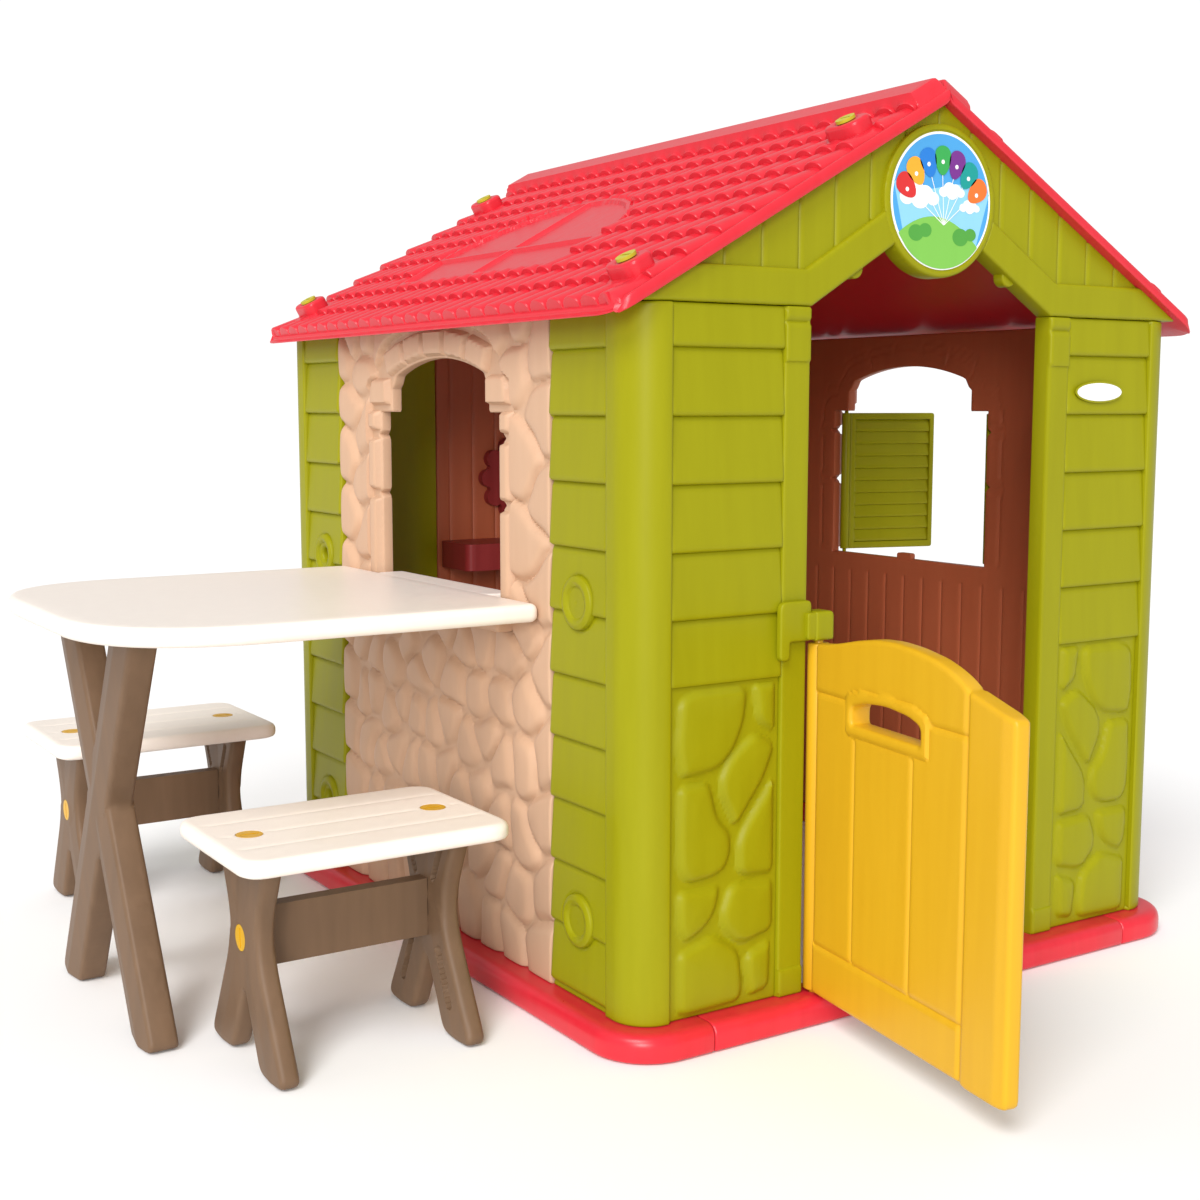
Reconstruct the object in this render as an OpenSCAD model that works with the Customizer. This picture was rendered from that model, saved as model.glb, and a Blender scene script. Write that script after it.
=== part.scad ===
// Plastic playhouse with a hook-on table and two stools, millimetres, +Z up.
// The front door faces -Y and the table stands on the -X side. Everything is drawn
// around the middle of the house's floor, and place() moves it so that the origin
// lies at the middle of the whole set, on the ground.

/* [House] */
// Width of the house across the corner posts
house_w = 944; // [930:2:960]
// Depth of the house from front to back
house_d = 1050; // [1040:2:1070]
// Height of the corner posts and wall panels
wall_h = 872; // [860:1:880]
// Thickness of the corner posts
post_t = 30; // [28:1:32]
// Thickness of the wall panels between the posts
panel_t = 26; // [24:1:28]
// Length of a post's leg along the front or back
post_front_leg = 261; // [255:1:268]
// Length of a post's leg along the side
post_side_leg = 200; // [190:1:210]
// Radius of a post's outer corner
post_corner_r = 50; // [44:1:54]

/* [Base] */
// Height of the base ring
base_h = 36; // [32:1:44]
// How far the base ring stands out past the walls
base_out = 30; // [26:1:32]
// Radius of the base ring's corners
base_corner_r = 80; // [70:1:90]

/* [Windows] */
// Height of the window sill above the ground
sill_z = 523; // [518:1:528]
// Half width of the window between its jambs
window_half = 188; // [186:1:190]
// Half width of the window between its corbels
corbel_half = 150; // [140:1:155]
// Height of the underside of the corbels
corbel_z = 778; // [776:1:782]
// Radius of the window arch
arch_r = 300; // [280:5:320]

/* [Door] */
// Distance from the hinge pin to the door's free edge
door_reach = 403; // [396:1:404]
// Thickness of the door
door_t = 28; // [26:1:28]
// Height of the door's top at the hinge side
door_hinge_top = 491; // [488:1:492]
// Angle that the door stands open
door_open = 98.5; // [80:0.5:110]

/* [Roof] */
// Height of the ridge above the ground
ridge_z = 1206; // [1200:1:1215]
// Height of the eaves' upper edge above the ground
eave_z = 906; // [903:1:908]
// Distance from the ridge plane to the eave
roof_run = 510; // [508:1:514]
// Depth of the roof panels, measured straight down
roof_depth = 18; // [16:1:18]
// Number of tile courses on each side
tile_courses = 9; // [7:1:11]

/* [Table] */
// Height of the table's upper face
table_z = 535; // [533:1:540]
// Thickness of the table top
table_t = 24; // [22:1:26]
// Half width of the table
table_half = 304; // [290:2:310]
// Distance from the middle of the house to the table's outer end
table_reach = 1028; // [1020:1:1060]

/* [Stools] */
// Height of the stool's upper face
stool_z = 280; // [272:1:286]
// Length of the stool's seat
stool_l = 348; // [340:2:360]
// Width of the stool's seat
stool_w = 250; // [240:2:260]
// Thickness of the stool's seat
seat_t = 22; // [20:1:24]

/* [Hidden] */
$fn = 64;

half_w = house_w / 2;
half_d = house_d / 2;
wall_top = base_h + wall_h;
doorway_half = half_w - post_front_leg;
side_gap_half = half_d - post_side_leg;
running_gap = 0.05;
screw_gap = 0.3;

// Roof slope, and the height of the roof's upper plane at a distance from the ridge.
// The ridge cap stands cap_rise above that plane.
cap_rise = 14;
slope = (ridge_z - cap_rise - eave_z) / roof_run;
slope_deg = atan(slope);
function roof_at(x) = ridge_z - cap_rise - slope * abs(x);
overhang = 12;
rake_rim_depth = 22;
rim_gap = 1.5;
eave_rim_in = half_w + 4;
eave_rim_depth = 16;
roof_corner_r = 34;
ridge_cap_x = 55;
ridge_cap_bevel = 8;
eave_border_x = roof_run - 12;
tile_drop = 9;

// Gable: its opening rises at gable_rise from the doorway to a round boss
gable_rise = 0.61;
boss_r = 97;
boss_z = 1048;
gable_t = 28;
trim_t = 6;
trim_h = 45;
plank_w = 56;
sign_r = 88;
label_t = 1;

// Roof clamps and their screws stand just inside the gables
clamp_x = [112, 444];
clamp_y = 476;
clamp_size = [42, 62, 18];
clamp_screw_r = 4.5;
clamp_screw_in = 8;
lug_depth = 24;

// Clapboards on the posts
board_h = 81;
board_groove = 3;

// Door: the pin's axis stands just in front of the wall's face
door_r = door_t / 2;
door_x = -doorway_half + door_r + 2;
door_y = -half_d - 2;
door_bottom = base_h + 4;
pin_r = 6;
bracket_bottom = door_hinge_top + 4;
bracket_top = 546;
bracket_foot = 472;
bracket_plate_t = 8;
slot_t = [98, 240];
slot_z = [404, 436];

// Shutters
shutter_x = half_w - 10;
shutter_y = window_half - 10;
shutter_reach = shutter_y - 2;
shutter_t = 14;
shutter_turn = 15;
shutter_barrel_r = 8;
shutter_pin_r = 3.5;
louvres = 10;

// Table
table_wall_gap = 2;
tongue_half = window_half - 12;
leg_x = 966;
leg_t = 50;
leg_beam_w = 85;
leg_foot_y = 158;
leg_top_y = 133;
tenon = [16, 40, 12];

// Stools: place of each seat's middle, and the shape of the leg frames
stool_front_at = [-731, -268];
stool_back_at = [-742, 475];
frame_x = 122;
frame_t = 30;
side_screw_z = 155;
screw_head_r = 16;
screw_r = 5;
stretcher_z = [118, 192];

// Corners of the whole set at rest, which put the origin in its middle
set_x = [-table_reach, shutter_x + shutter_reach * cos(shutter_turn)
    + shutter_t / 2 * sin(shutter_turn)];
set_y = [door_y - (door_reach - door_r) * sin(door_open) - door_r,
    stool_back_at[1] + stool_w / 2];

red = [0.80, 0.12, 0.17];
green = [0.55, 0.62, 0.08];
beige = [0.93, 0.80, 0.66];
brown = [0.45, 0.20, 0.10];
taupe = [0.50, 0.38, 0.30];
yellow = [0.95, 0.68, 0.10];

module place() {
    translate([-(set_x[0] + set_x[1]) / 2, -(set_y[0] + set_y[1]) / 2, 0]) children();
}

// A rectangle from a corner to a corner
module rect(a, b) {
    translate(a) square([b[0] - a[0], b[1] - a[1]]);
}

module block(a, b) {
    translate(a) cube([b[0] - a[0], b[1] - a[1], b[2] - a[2]]);
}

// A rectangle about the origin with round corners
module round_rect(half_x, half_y, r) {
    square([2 * half_x - 2 * r, 2 * half_y], center = true);
    square([2 * half_x, 2 * half_y - 2 * r], center = true);
    for (x = [-1, 1], y = [-1, 1])
        translate([x * (half_x - r), y * (half_y - r)]) circle(r);
}

// Stands a profile drawn as (x, z) upright, from y = from to y = to
module upright(from, to) {
    translate([0, to, 0]) rotate([90, 0, 0]) linear_extrude(to - from) children();
}

// Stands a profile drawn as (y, z) upright, from x = from to x = to
module upright_side(from, to) {
    translate([from, 0, 0]) rotate([90, 0, 90]) linear_extrude(to - from) children();
}

module both_sides() {
    children();
    mirror([1, 0, 0]) children();
}

// ---------------------------------------------------------------- base ring
base_joint_x = 372;
base_inner = 34;

module base_ring() {
    linear_extrude(base_h) difference() {
        round_rect(half_w + base_out, half_d + base_out, base_corner_r);
        round_rect(half_w - base_inner, half_d - base_inner, 20);
    }
}

module base_side(side) {
    color(red) place() intersection() {
        base_ring();
        mirror([side < 0 ? 0 : 1, 0, 0])
            block([-house_w, -house_d, -1], [-base_joint_x, house_d, base_h + 1]);
    }
}

module base_straight(end) {
    color(red) place() difference() {
        intersection() {
            base_ring();
            mirror([0, end < 0 ? 0 : 1, 0])
                block([-base_joint_x, -house_d, -1], [base_joint_x, 0, base_h + 1]);
        }
        if (end < 0)
            translate([door_x, door_y, base_h - 16]) cylinder(r = pin_r + running_gap, h = 17);
    }
}

// ------------------------------------------------------------- corner posts
post_hole_r = 11;
post_boss_r = 34;
post_boss_z = [140, 545];
band_front = 53;
band_side = 66;
jamb_w = 40;

module post_section() {
    difference() {
        union() {
            square([post_front_leg, post_t]);
            square([post_t, post_side_leg]);
        }
        difference() {
            translate([-1, -1]) square(post_corner_r + 1);
            translate([post_corner_r, post_corner_r]) circle(post_corner_r);
        }
    }
}

// One corner post with its outer corner at the origin, its front leg along +X and
// its side leg along +Y. open_bosses drills the two bosses on the side leg through.
module post(open_bosses) {
    boss_y = (post_side_leg + band_side) / 2;
    difference() {
        union() {
            translate([0, 0, base_h]) linear_extrude(wall_h) post_section();
            for (z = post_boss_z)
                translate([-1.5, boss_y, z]) rotate([0, 90, 0])
                    cylinder(r = post_boss_r, h = post_t);
        }
        for (i = [0 : 4])
            block([band_front, -1, wall_top - 52 - i * board_h],
                [post_front_leg - jamb_w, 1.5, wall_top - 52 - i * board_h + board_groove]);
        for (i = [0 : 9])
            block([-1, band_side, wall_top - 52 - i * board_h],
                [1.5, post_side_leg + 1, wall_top - 52 - i * board_h + board_groove]);
        if (open_bosses)
            for (z = post_boss_z)
                translate([-3, boss_y, z]) rotate([0, 90, 0])
                    cylinder(r = post_hole_r, h = post_t + 6);
    }
}

module corner_post(side, end) {
    color(green) place()
        mirror([side < 0 ? 0 : 1, 0, 0]) mirror([0, end < 0 ? 0 : 1, 0])
            translate([-half_w, -half_d, 0]) post(side * end < 0);
}

// ------------------------------------------------------------------- walls
module window_outline() {
    rect([-window_half, sill_z], [window_half, corbel_z]);
    rect([-corbel_half, corbel_z - 1], [corbel_half, arch_spring_z()]);
    intersection() {
        translate([0, arch_spring_z() - arch_r * cos(asin(corbel_half / arch_r))])
            circle(arch_r, $fn = 180);
        rect([-corbel_half, arch_spring_z() - 1], [corbel_half, wall_top]);
    }
}
function arch_spring_z() = corbel_z + 34;

ledge_half = 225;
ledge_out = 22;

module side_panel() {
    upright_side(-half_w + (post_t - panel_t), -half_w + post_t) difference() {
        rect([-side_gap_half, base_h], [side_gap_half, wall_top]);
        window_outline();
    }
}

module wall_left() {
    color(beige) place() {
        side_panel();
        block([-half_w + 4 - ledge_out, -ledge_half, table_z - table_t - 22],
            [-half_w + 4, ledge_half, table_z - table_t - 0.3]);
    }
}

module shutter_sockets() {
    for (y = [-shutter_y, shutter_y])
        translate([shutter_x, y, 0]) {
            translate([0, 0, sill_z - 8]) cylinder(r = shutter_pin_r + running_gap, h = 9);
            translate([0, 0, corbel_z - 1]) cylinder(r = shutter_pin_r + running_gap, h = 9);
        }
}

module wall_right() {
    color(brown) place() difference() {
        union() {
            mirror([1, 0, 0]) side_panel();
            block([half_w - post_t, -17, sill_z - 1], [half_w - post_t + 12, 17, sill_z + 10]);
        }
        shutter_sockets();
        for (y = [-6 : 6])
            block([half_w - post_t - 1, y * 46 - 1.5, base_h + 20],
                [half_w - post_t + 2, y * 46 + 1.5, sill_z - 40]);
    }
}

module gable_opening(inset) {
    rise = gable_rise * (doorway_half - inset);
    difference() {
        polygon([[-doorway_half + inset, wall_top - 1], [-doorway_half + inset, wall_top],
            [0, wall_top + rise], [doorway_half - inset, wall_top],
            [doorway_half - inset, wall_top - 1]]);
        translate([0, boss_z]) circle(boss_r + inset);
    }
}

module wall_back() {
    color(brown) place() difference() {
        union() {
            block([-doorway_half, half_d - post_t, base_h],
                [doorway_half, half_d - post_t + panel_t, wall_top]);
            upright(half_d - post_t, half_d - post_t + panel_t) gable_opening(1);
        }
        for (x = [-4 : 4])
            block([x * 46 - 1.5, half_d - post_t - 1, base_h + 20],
                [x * 46 + 1.5, half_d - post_t + 2, sill_z - 60]);
    }
}

// ------------------------------------------------------------------ gables
module gable_outline() {
    top = roof_at(half_w) - roof_depth;
    polygon([[-half_w, wall_top], [-half_w, top], [0, roof_at(0) - roof_depth],
        [half_w, top], [half_w, wall_top]]);
}

module gable_trim_outline() {
    knee = doorway_half + 9;
    intersection() {
        gable_outline();
        polygon([[-half_w, wall_top], [-half_w, wall_top + trim_h], [-knee, wall_top + trim_h],
            [0, wall_top + trim_h + gable_rise * knee], [knee, wall_top + trim_h],
            [half_w, wall_top + trim_h], [half_w, wall_top]]);
    }
}

// The front gable, also used for the back one by mirroring it in Y
module gable() {
    difference() {
        union() {
            upright(-half_d + trim_t, -half_d + gable_t) gable_outline();
            upright(-half_d, -half_d + trim_t + 1) {
                gable_trim_outline();
                translate([0, boss_z]) circle(boss_r);
            }
            clamp_lugs();
        }
        upright(-half_d - 1, -half_d + gable_t + 1) gable_opening(0);
        for (i = [0 : 7], side = [-1, 1])
            plank_groove(side * (i + 0.5) * plank_w);
        clamp_screw_holes();
    }
}

// Blocks inside the gable, under the roof, that the clamps' screws hold in
module clamp_lugs() {
    under_roof = roof_depth * cos(slope_deg);
    both_sides()
        for (x = clamp_x)
            intersection() {
                at_clamp(x, -clamp_y)
                    block([-14, -24, -under_roof - lug_depth], [14, 14, -under_roof - 0.6]);
                block([-half_w, -half_d, wall_top + 1], [0, 0, ridge_z]);
            }
}

module clamp_screw_holes() {
    both_sides()
        for (x = clamp_x)
            at_clamp(x, -clamp_y)
                translate([0, 0, -roof_depth - clamp_screw_in - 1])
                    cylinder(r = clamp_screw_r + screw_gap, h = roof_depth + clamp_screw_in + 2);
}

module plank_groove(x) {
    lowest = wall_top + trim_h + gable_rise * max(0, doorway_half + 9 - abs(x)) + 2;
    bottom = abs(x) < boss_r ? boss_z + boss_r : lowest;
    if (bottom < roof_at(x) - roof_depth)
        block([x - 1.5, -half_d + trim_t - 1, bottom],
            [x + 1.5, -half_d + trim_t + 2, roof_at(x)]);
}

module gable_front() {
    color(green) place() gable();
}

module gable_back() {
    color(green) place() mirror([0, 1, 0]) gable();
}

module gable_sign() {
    color("skyblue") place()
        upright(-half_d - 1.2, -half_d) translate([0, boss_z]) circle(sign_r, $fn = 128);
}

label_at = [313, 806];
label_half = [49, 15];

module oval_label() {
    color("white") place()
        upright(-half_d - label_t, -half_d) translate(label_at)
            round_rect(label_half[0], label_half[1], label_half[1] - 0.5);
}

// -------------------------------------------------------------------- roof
// Upper line of the tile courses: each course drops under the one above it
function tile_points(n) = [for (i = [0 : n - 1], edge = [0, 1])
    let (pitch = (eave_border_x - ridge_cap_x) / n, x = ridge_cap_x + (i + edge) * pitch)
    [-x, roof_at(x) - (edge == 0 ? tile_drop : 0)]];

module roof_panel_outline() {
    polygon(concat(
        [[0, ridge_z], [-ridge_cap_x + ridge_cap_bevel, roof_at(ridge_cap_x - ridge_cap_bevel) + cap_rise],
            [-ridge_cap_x, roof_at(ridge_cap_x)]],
        tile_points(tile_courses),
        [[-roof_run, eave_z], [-roof_run, eave_z - eave_rim_depth],
            [-eave_rim_in, eave_z - eave_rim_depth],
            [-eave_rim_in, roof_at(eave_rim_in) - roof_depth], [0, roof_at(0) - roof_depth]]));
}

module rake_rim_outline() {
    polygon([[0, roof_at(0)], [-roof_run, eave_z], [-roof_run, eave_z - eave_rim_depth],
        [-eave_rim_in, roof_at(eave_rim_in) - rake_rim_depth], [0, roof_at(0) - rake_rim_depth]]);
}

// Moves to a clamp's place on the left slope, with +Z square to the slope
module at_clamp(x, y) {
    translate([-x, y, roof_at(x)]) rotate([0, -slope_deg, 0]) children();
}

module roof_plan() {
    translate([0, 0, eave_z - 100]) linear_extrude(ridge_z)
        round_rect(roof_run, half_d + overhang, roof_corner_r);
}

module left_roof_panel() {
    difference() {
        intersection() {
            union() {
                upright(-half_d - rim_gap, half_d + rim_gap) roof_panel_outline();
                for (end = [-1, 1])
                    upright(end < 0 ? -half_d - overhang : half_d + rim_gap,
                        end < 0 ? -half_d - rim_gap : half_d + overhang) rake_rim_outline();
                for (x = clamp_x, y = [-clamp_y, clamp_y])
                    at_clamp(x, y) block([-28, -38, -12], [28, 38, 0]);
            }
            roof_plan();
        }
        for (x = clamp_x, y = [-clamp_y, clamp_y])
            at_clamp(x, y) translate([0, 0, -60])
                cylinder(r = clamp_screw_r + screw_gap, h = 80);
    }
}

module roof_left() {
    color(red) place() left_roof_panel();
}

module roof_right() {
    color(red) place() mirror([1, 0, 0]) left_roof_panel();
}

module roof_clamps() {
    color(red) place() both_sides()
        for (x = clamp_x, y = [-clamp_y, clamp_y])
            at_clamp(x, y) difference() {
                linear_extrude(clamp_size[2])
                    round_rect(clamp_size[0] / 2, clamp_size[1] / 2, 8);
                translate([0, 0, -1])
                    cylinder(r = clamp_screw_r + screw_gap, h = clamp_size[2] + 2);
            }
}

module roof_screws() {
    shank = clamp_size[2] + roof_depth * cos(slope_deg) + clamp_screw_in;
    color(yellow) place() both_sides()
        for (x = clamp_x, y = [-clamp_y, clamp_y])
            at_clamp(x, y) difference() {
                union() {
                    translate([0, 0, clamp_size[2]]) cylinder(r = 13, h = 4);
                    translate([0, 0, clamp_size[2] - shank]) cylinder(r = clamp_screw_r, h = shank);
                }
                block([-2, -10, clamp_size[2] + 2], [2, 10, clamp_size[2] + 5]);
            }
}

// -------------------------------------------------------------------- door
arch_mid = 160;
door_arch_r = 395;
door_arch_top = 517;
shoulder_t = 323;
shoulder_end_z = 466;

// The door's face as (distance from the pin, height): a flat hinge stile, an arch
// and a shoulder that falls to the free edge
module door_outline() {
    end = door_reach - door_r;
    shoulder_z = door_arch_top - door_arch_r + sqrt(pow(door_arch_r, 2) - pow(shoulder_t - arch_mid, 2));
    rect([0, door_bottom], [40, door_hinge_top]);
    intersection() {
        translate([arch_mid, door_arch_top - door_arch_r]) circle(door_arch_r, $fn = 180);
        rect([39, door_bottom], [shoulder_t, door_arch_top]);
    }
    polygon([[shoulder_t - 1, door_bottom], [shoulder_t - 1, shoulder_z],
        [end, shoulder_end_z], [end, door_bottom]]);
}

module slot_outline(grow) {
    mid = [(slot_t[0] + slot_t[1]) / 2, (slot_z[0] + slot_z[1]) / 2];
    translate(mid) round_rect((slot_t[1] - slot_t[0]) / 2 + grow,
        (slot_z[1] - slot_z[0]) / 2 + grow, 12);
}

module door_grooves() {
    for (t = [102, 222, shoulder_t])
        block([t - 1.5, -door_r - 1, 108], [t + 1.5, -door_r + 2, 388]);
    block([15, -door_r - 1, 104], [shoulder_t, -door_r + 2, 108]);
}

// The door closed, with its pin's axis at the origin and its outer face at -Y
module door_leaf() {
    difference() {
        union() {
            upright(-door_r, door_r) difference() {
                door_outline();
                slot_outline(0);
            }
            upright(-door_r - 3, -door_r + 1) difference() {
                slot_outline(12);
                slot_outline(0);
            }
            translate([0, 0, door_bottom]) cylinder(r = door_r, h = door_hinge_top - door_bottom);
            translate([door_reach - door_r, 0, door_bottom])
                cylinder(r = door_r, h = shoulder_end_z - door_bottom);
            translate([0, 0, base_h - 14]) cylinder(r = pin_r, h = 30);
            translate([0, 0, door_hinge_top - 1]) cylinder(r = pin_r, h = 17);
        }
        door_grooves();
    }
}

module door() {
    color(yellow) place()
        translate([door_x, door_y, 0]) rotate([0, 0, -door_open]) door_leaf();
}

module door_hinge_bracket() {
    front = door_y - door_r;
    color(green) place() difference() {
        union() {
            block([-doorway_half - 50, -half_d - bracket_plate_t, bracket_bottom],
                [-doorway_half, -half_d, bracket_top]);
            block([-doorway_half - 50, -half_d - bracket_plate_t, bracket_foot],
                [-doorway_half - 34, -half_d, bracket_bottom + 1]);
            block([-doorway_half, front, bracket_bottom], [door_x + door_r, door_y + door_r, 532]);
        }
        translate([door_x, door_y, bracket_bottom - 1]) cylinder(r = pin_r + running_gap, h = 18);
    }
}

// ---------------------------------------------------------------- shutters
// One leaf along +X, its pin's axis at the origin
module shutter_leaf() {
    low = sill_z + 4;
    high = corbel_z - 4;
    pitch = (high - low - 24) / louvres;
    difference() {
        union() {
            block([0, -shutter_t / 2, low], [shutter_reach, shutter_t / 2, high]);
            translate([0, 0, low]) cylinder(r = shutter_barrel_r, h = high - low);
            translate([0, 0, sill_z - 6]) cylinder(r = shutter_pin_r, h = corbel_z - sill_z + 12);
        }
        for (i = [0 : louvres - 1], side = [-1, 1])
            translate([0, side * shutter_t / 2, low + 12 + (i + 0.5) * pitch])
                block([22, -2, -1.5], [shutter_reach - 10, 2, 1.5]);
    }
}

module shutter_front() {
    color(green) place() translate([shutter_x, -shutter_y, 0])
        rotate([0, 0, shutter_turn]) shutter_leaf();
}

module shutter_back() {
    color(green) place() translate([shutter_x, shutter_y, 0])
        rotate([0, 0, -shutter_turn]) shutter_leaf();
}

// ------------------------------------------------------------ inside pieces
dial_x = -53;
dial_z = 658;
counter_half = 154;
counter_depth = 110;
counter_z = [503, 549];
inner_back_y = half_d - post_t;

module play_counter() {
    color(brown) place()
        translate([dial_x, inner_back_y - counter_depth / 2, counter_z[0]])
            linear_extrude(counter_z[1] - counter_z[0])
                round_rect(counter_half, counter_depth / 2, 14);
}

module wall_dial() {
    color(red) place() difference() {
        upright(inner_back_y - 14, inner_back_y) translate([dial_x, dial_z]) {
            circle(60);
            for (i = [0 : 9]) rotate(36 * i) translate([58, 0]) circle(16);
        }
        translate([dial_x, inner_back_y + 1, dial_z]) rotate([90, 0, 0]) cylinder(r = 6, h = 20);
    }
}

module dial_hub() {
    color(yellow) place() translate([dial_x, inner_back_y, dial_z]) rotate([90, 0, 0]) {
        cylinder(r = 5.7, h = 15);
        translate([0, 0, 14]) cylinder(r = 14, h = 8);
    }
}

// ------------------------------------------------------------------- table
table_corner_r = 160;
table_wall_x = half_w - 4 + table_wall_gap;

module table_outline() {
    length = table_reach - table_wall_x;
    translate([-table_wall_x, 0]) {
        rect([-length + table_corner_r, -table_half], [0, table_half]);
        rect([-length, -table_half + table_corner_r], [-1, table_half - table_corner_r]);
        for (y = [-1, 1])
            translate([-length + table_corner_r, y * (table_half - table_corner_r)])
                circle(table_corner_r, $fn = 128);
    }
}

module table_top() {
    color(beige) place() difference() {
        union() {
            translate([0, 0, table_z - table_t]) linear_extrude(table_t) table_outline();
            block([-table_wall_x - 1, -tongue_half, sill_z + 0.5],
                [-half_w + post_t + 8, tongue_half, table_z]);
            block([-half_w + post_t + 2, -tongue_half, sill_z - 18],
                [-half_w + post_t + 8, tongue_half, table_z]);
        }
        for (y = [-leg_top_y, leg_top_y])
            translate([-leg_x + leg_t / 2, y, table_z - table_t - 1 + (tenon[2] + 1) / 2])
                cube([tenon[0], tenon[1], tenon[2] + 1], center = true);
    }
}

module table_leg() {
    top = table_z - table_t;
    half_beam = leg_beam_w / 2;
    color(taupe) place() {
        upright_side(-leg_x, -leg_x + leg_t)
            for (side = [-1, 1])
                polygon([[side * leg_foot_y - half_beam, 0], [side * leg_foot_y + half_beam, 0],
                    [-side * leg_top_y + half_beam, top], [-side * leg_top_y - half_beam, top]]);
        for (y = [-leg_top_y, leg_top_y])
            translate([-leg_x + leg_t / 2, y, top - 1 + (tenon[2] + 1) / 2])
                cube([tenon[0], tenon[1], tenon[2] + 1], center = true);
    }
}

// ------------------------------------------------------------------ stools
seat_under = stool_z - seat_t;
waist_z = 150;
frame_top_half = 78;
waist_half = 35;
foot_out = 122;
foot_in = 44;
crotch_z = 92;

module at_stool(at) {
    place() translate([at[0], at[1], 0]) children();
}

module stool_seat(at) {
    color(beige) at_stool(at) difference() {
        translate([0, 0, seat_under]) linear_extrude(seat_t)
            round_rect(stool_l / 2, stool_w / 2, 24);
        for (x = [-frame_x, frame_x]) translate([x, 0, 0]) {
            translate([0, 0, stool_z - 5]) cylinder(r = screw_head_r + 0.5, h = 6);
            translate([0, 0, seat_under - 1]) cylinder(r = screw_r + screw_gap, h = seat_t);
        }
        for (y = [-62, 0, 62])
            block([-stool_l / 2 + 26, y - 1.5, stool_z - 1.5], [stool_l / 2 - 26, y + 1.5, stool_z + 1]);
    }
}

module leg_frame_outline() {
    polygon([[-frame_top_half, seat_under], [frame_top_half, seat_under],
        [waist_half, waist_z], [foot_out, 0], [foot_in, 0], [0, crotch_z],
        [-foot_in, 0], [-foot_out, 0], [-waist_half, waist_z]]);
}

// side is -1 for the frame at the outer end and 1 for the one beside the house
module stool_leg(at, side) {
    color(taupe) at_stool(at) difference() {
        upright_side(side * frame_x - frame_t / 2, side * frame_x + frame_t / 2)
            leg_frame_outline();
        translate([side * frame_x, 0, seat_under - 30]) cylinder(r = screw_r + screw_gap, h = 31);
        translate([side * (frame_x + frame_t / 2), 0, side_screw_z]) rotate([0, -side * 90, 0]) {
            translate([0, 0, -1]) cylinder(r = screw_r + screw_gap, h = frame_t + 2);
            translate([0, 0, -1]) cylinder(r = screw_head_r + 0.5, h = 6);
        }
    }
}

module stool_stretcher(at) {
    reach = frame_x - frame_t / 2;
    color(taupe) at_stool(at) difference() {
        block([-reach, -11, stretcher_z[0]], [reach, 11, stretcher_z[1]]);
        for (side = [-1, 1])
            translate([side * (reach + 1), 0, side_screw_z]) rotate([0, -side * 90, 0])
                cylinder(r = screw_r + screw_gap, h = 31);
    }
}

// A slotted screw with its head's face at z = 0 and its shank down -Z
module slotted_screw(length) {
    difference() {
        union() {
            translate([0, 0, -5]) cylinder(r = screw_head_r, h = 5);
            translate([0, 0, -length]) cylinder(r = screw_r, h = length);
        }
        block([-12, -2, -2], [12, 2, 1]);
    }
}

module stool_seat_screws(at) {
    color(yellow) at_stool(at)
        for (x = [-frame_x, frame_x])
            translate([x, 0, stool_z]) slotted_screw(seat_t + 28);
}

module stool_side_screws(at) {
    color(yellow) at_stool(at)
        for (side = [-1, 1])
            translate([side * (frame_x + frame_t / 2), 0, side_screw_z])
                rotate([0, side * 90, 0]) slotted_screw(frame_t + 26);
}

base_side(-1);  // base_left
base_side(1);  // base_right
base_straight(-1);  // base_front
base_straight(1);  // base_back
corner_post(-1, -1);  // post_front_left
corner_post(1, -1);  // post_front_right
corner_post(-1, 1);  // post_back_left
corner_post(1, 1);  // post_back_right
wall_left();
wall_right();
wall_back();
gable_front();
gable_back();
gable_sign();
oval_label();
roof_left();
roof_right();
roof_clamps();
roof_screws();
door();
door_hinge_bracket();
shutter_front();
shutter_back();
play_counter();
wall_dial();
dial_hub();
table_top();
table_leg();
stool_seat(stool_front_at);  // stool_front_seat
stool_leg(stool_front_at, -1);  // stool_front_leg_outer
stool_leg(stool_front_at, 1);  // stool_front_leg_inner
stool_stretcher(stool_front_at);  // stool_front_stretcher
stool_seat_screws(stool_front_at);  // stool_front_seat_screws
stool_side_screws(stool_front_at);  // stool_front_side_screws
stool_seat(stool_back_at);  // stool_back_seat
stool_leg(stool_back_at, -1);  // stool_back_leg_outer
stool_leg(stool_back_at, 1);  // stool_back_leg_inner
stool_stretcher(stool_back_at);  // stool_back_stretcher
stool_seat_screws(stool_back_at);  // stool_back_seat_screws
stool_side_screws(stool_back_at);  // stool_back_side_screws
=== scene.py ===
"""Plastic playhouse with a hook-on table and two stools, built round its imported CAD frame.

Shapes are worked out in millimetres in the house's own frame: the origin is the middle of
the house's floor, x runs to the right along the front wall, y runs away from the front
door and z is up. make_piece() turns them into metres in the CAD frame.

Most visible pieces are shells. A shell starts from a flat outline with holes. Its points
are triangulated, lifted by a relief function and laid on the piece's front surface, and
the same outline on the back surface closes it.
"""

import math

import bmesh
import bpy
import numpy as np
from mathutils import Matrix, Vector
from mathutils.geometry import delaunay_2d_cdt
from mathutils.kdtree import KDTree


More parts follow.
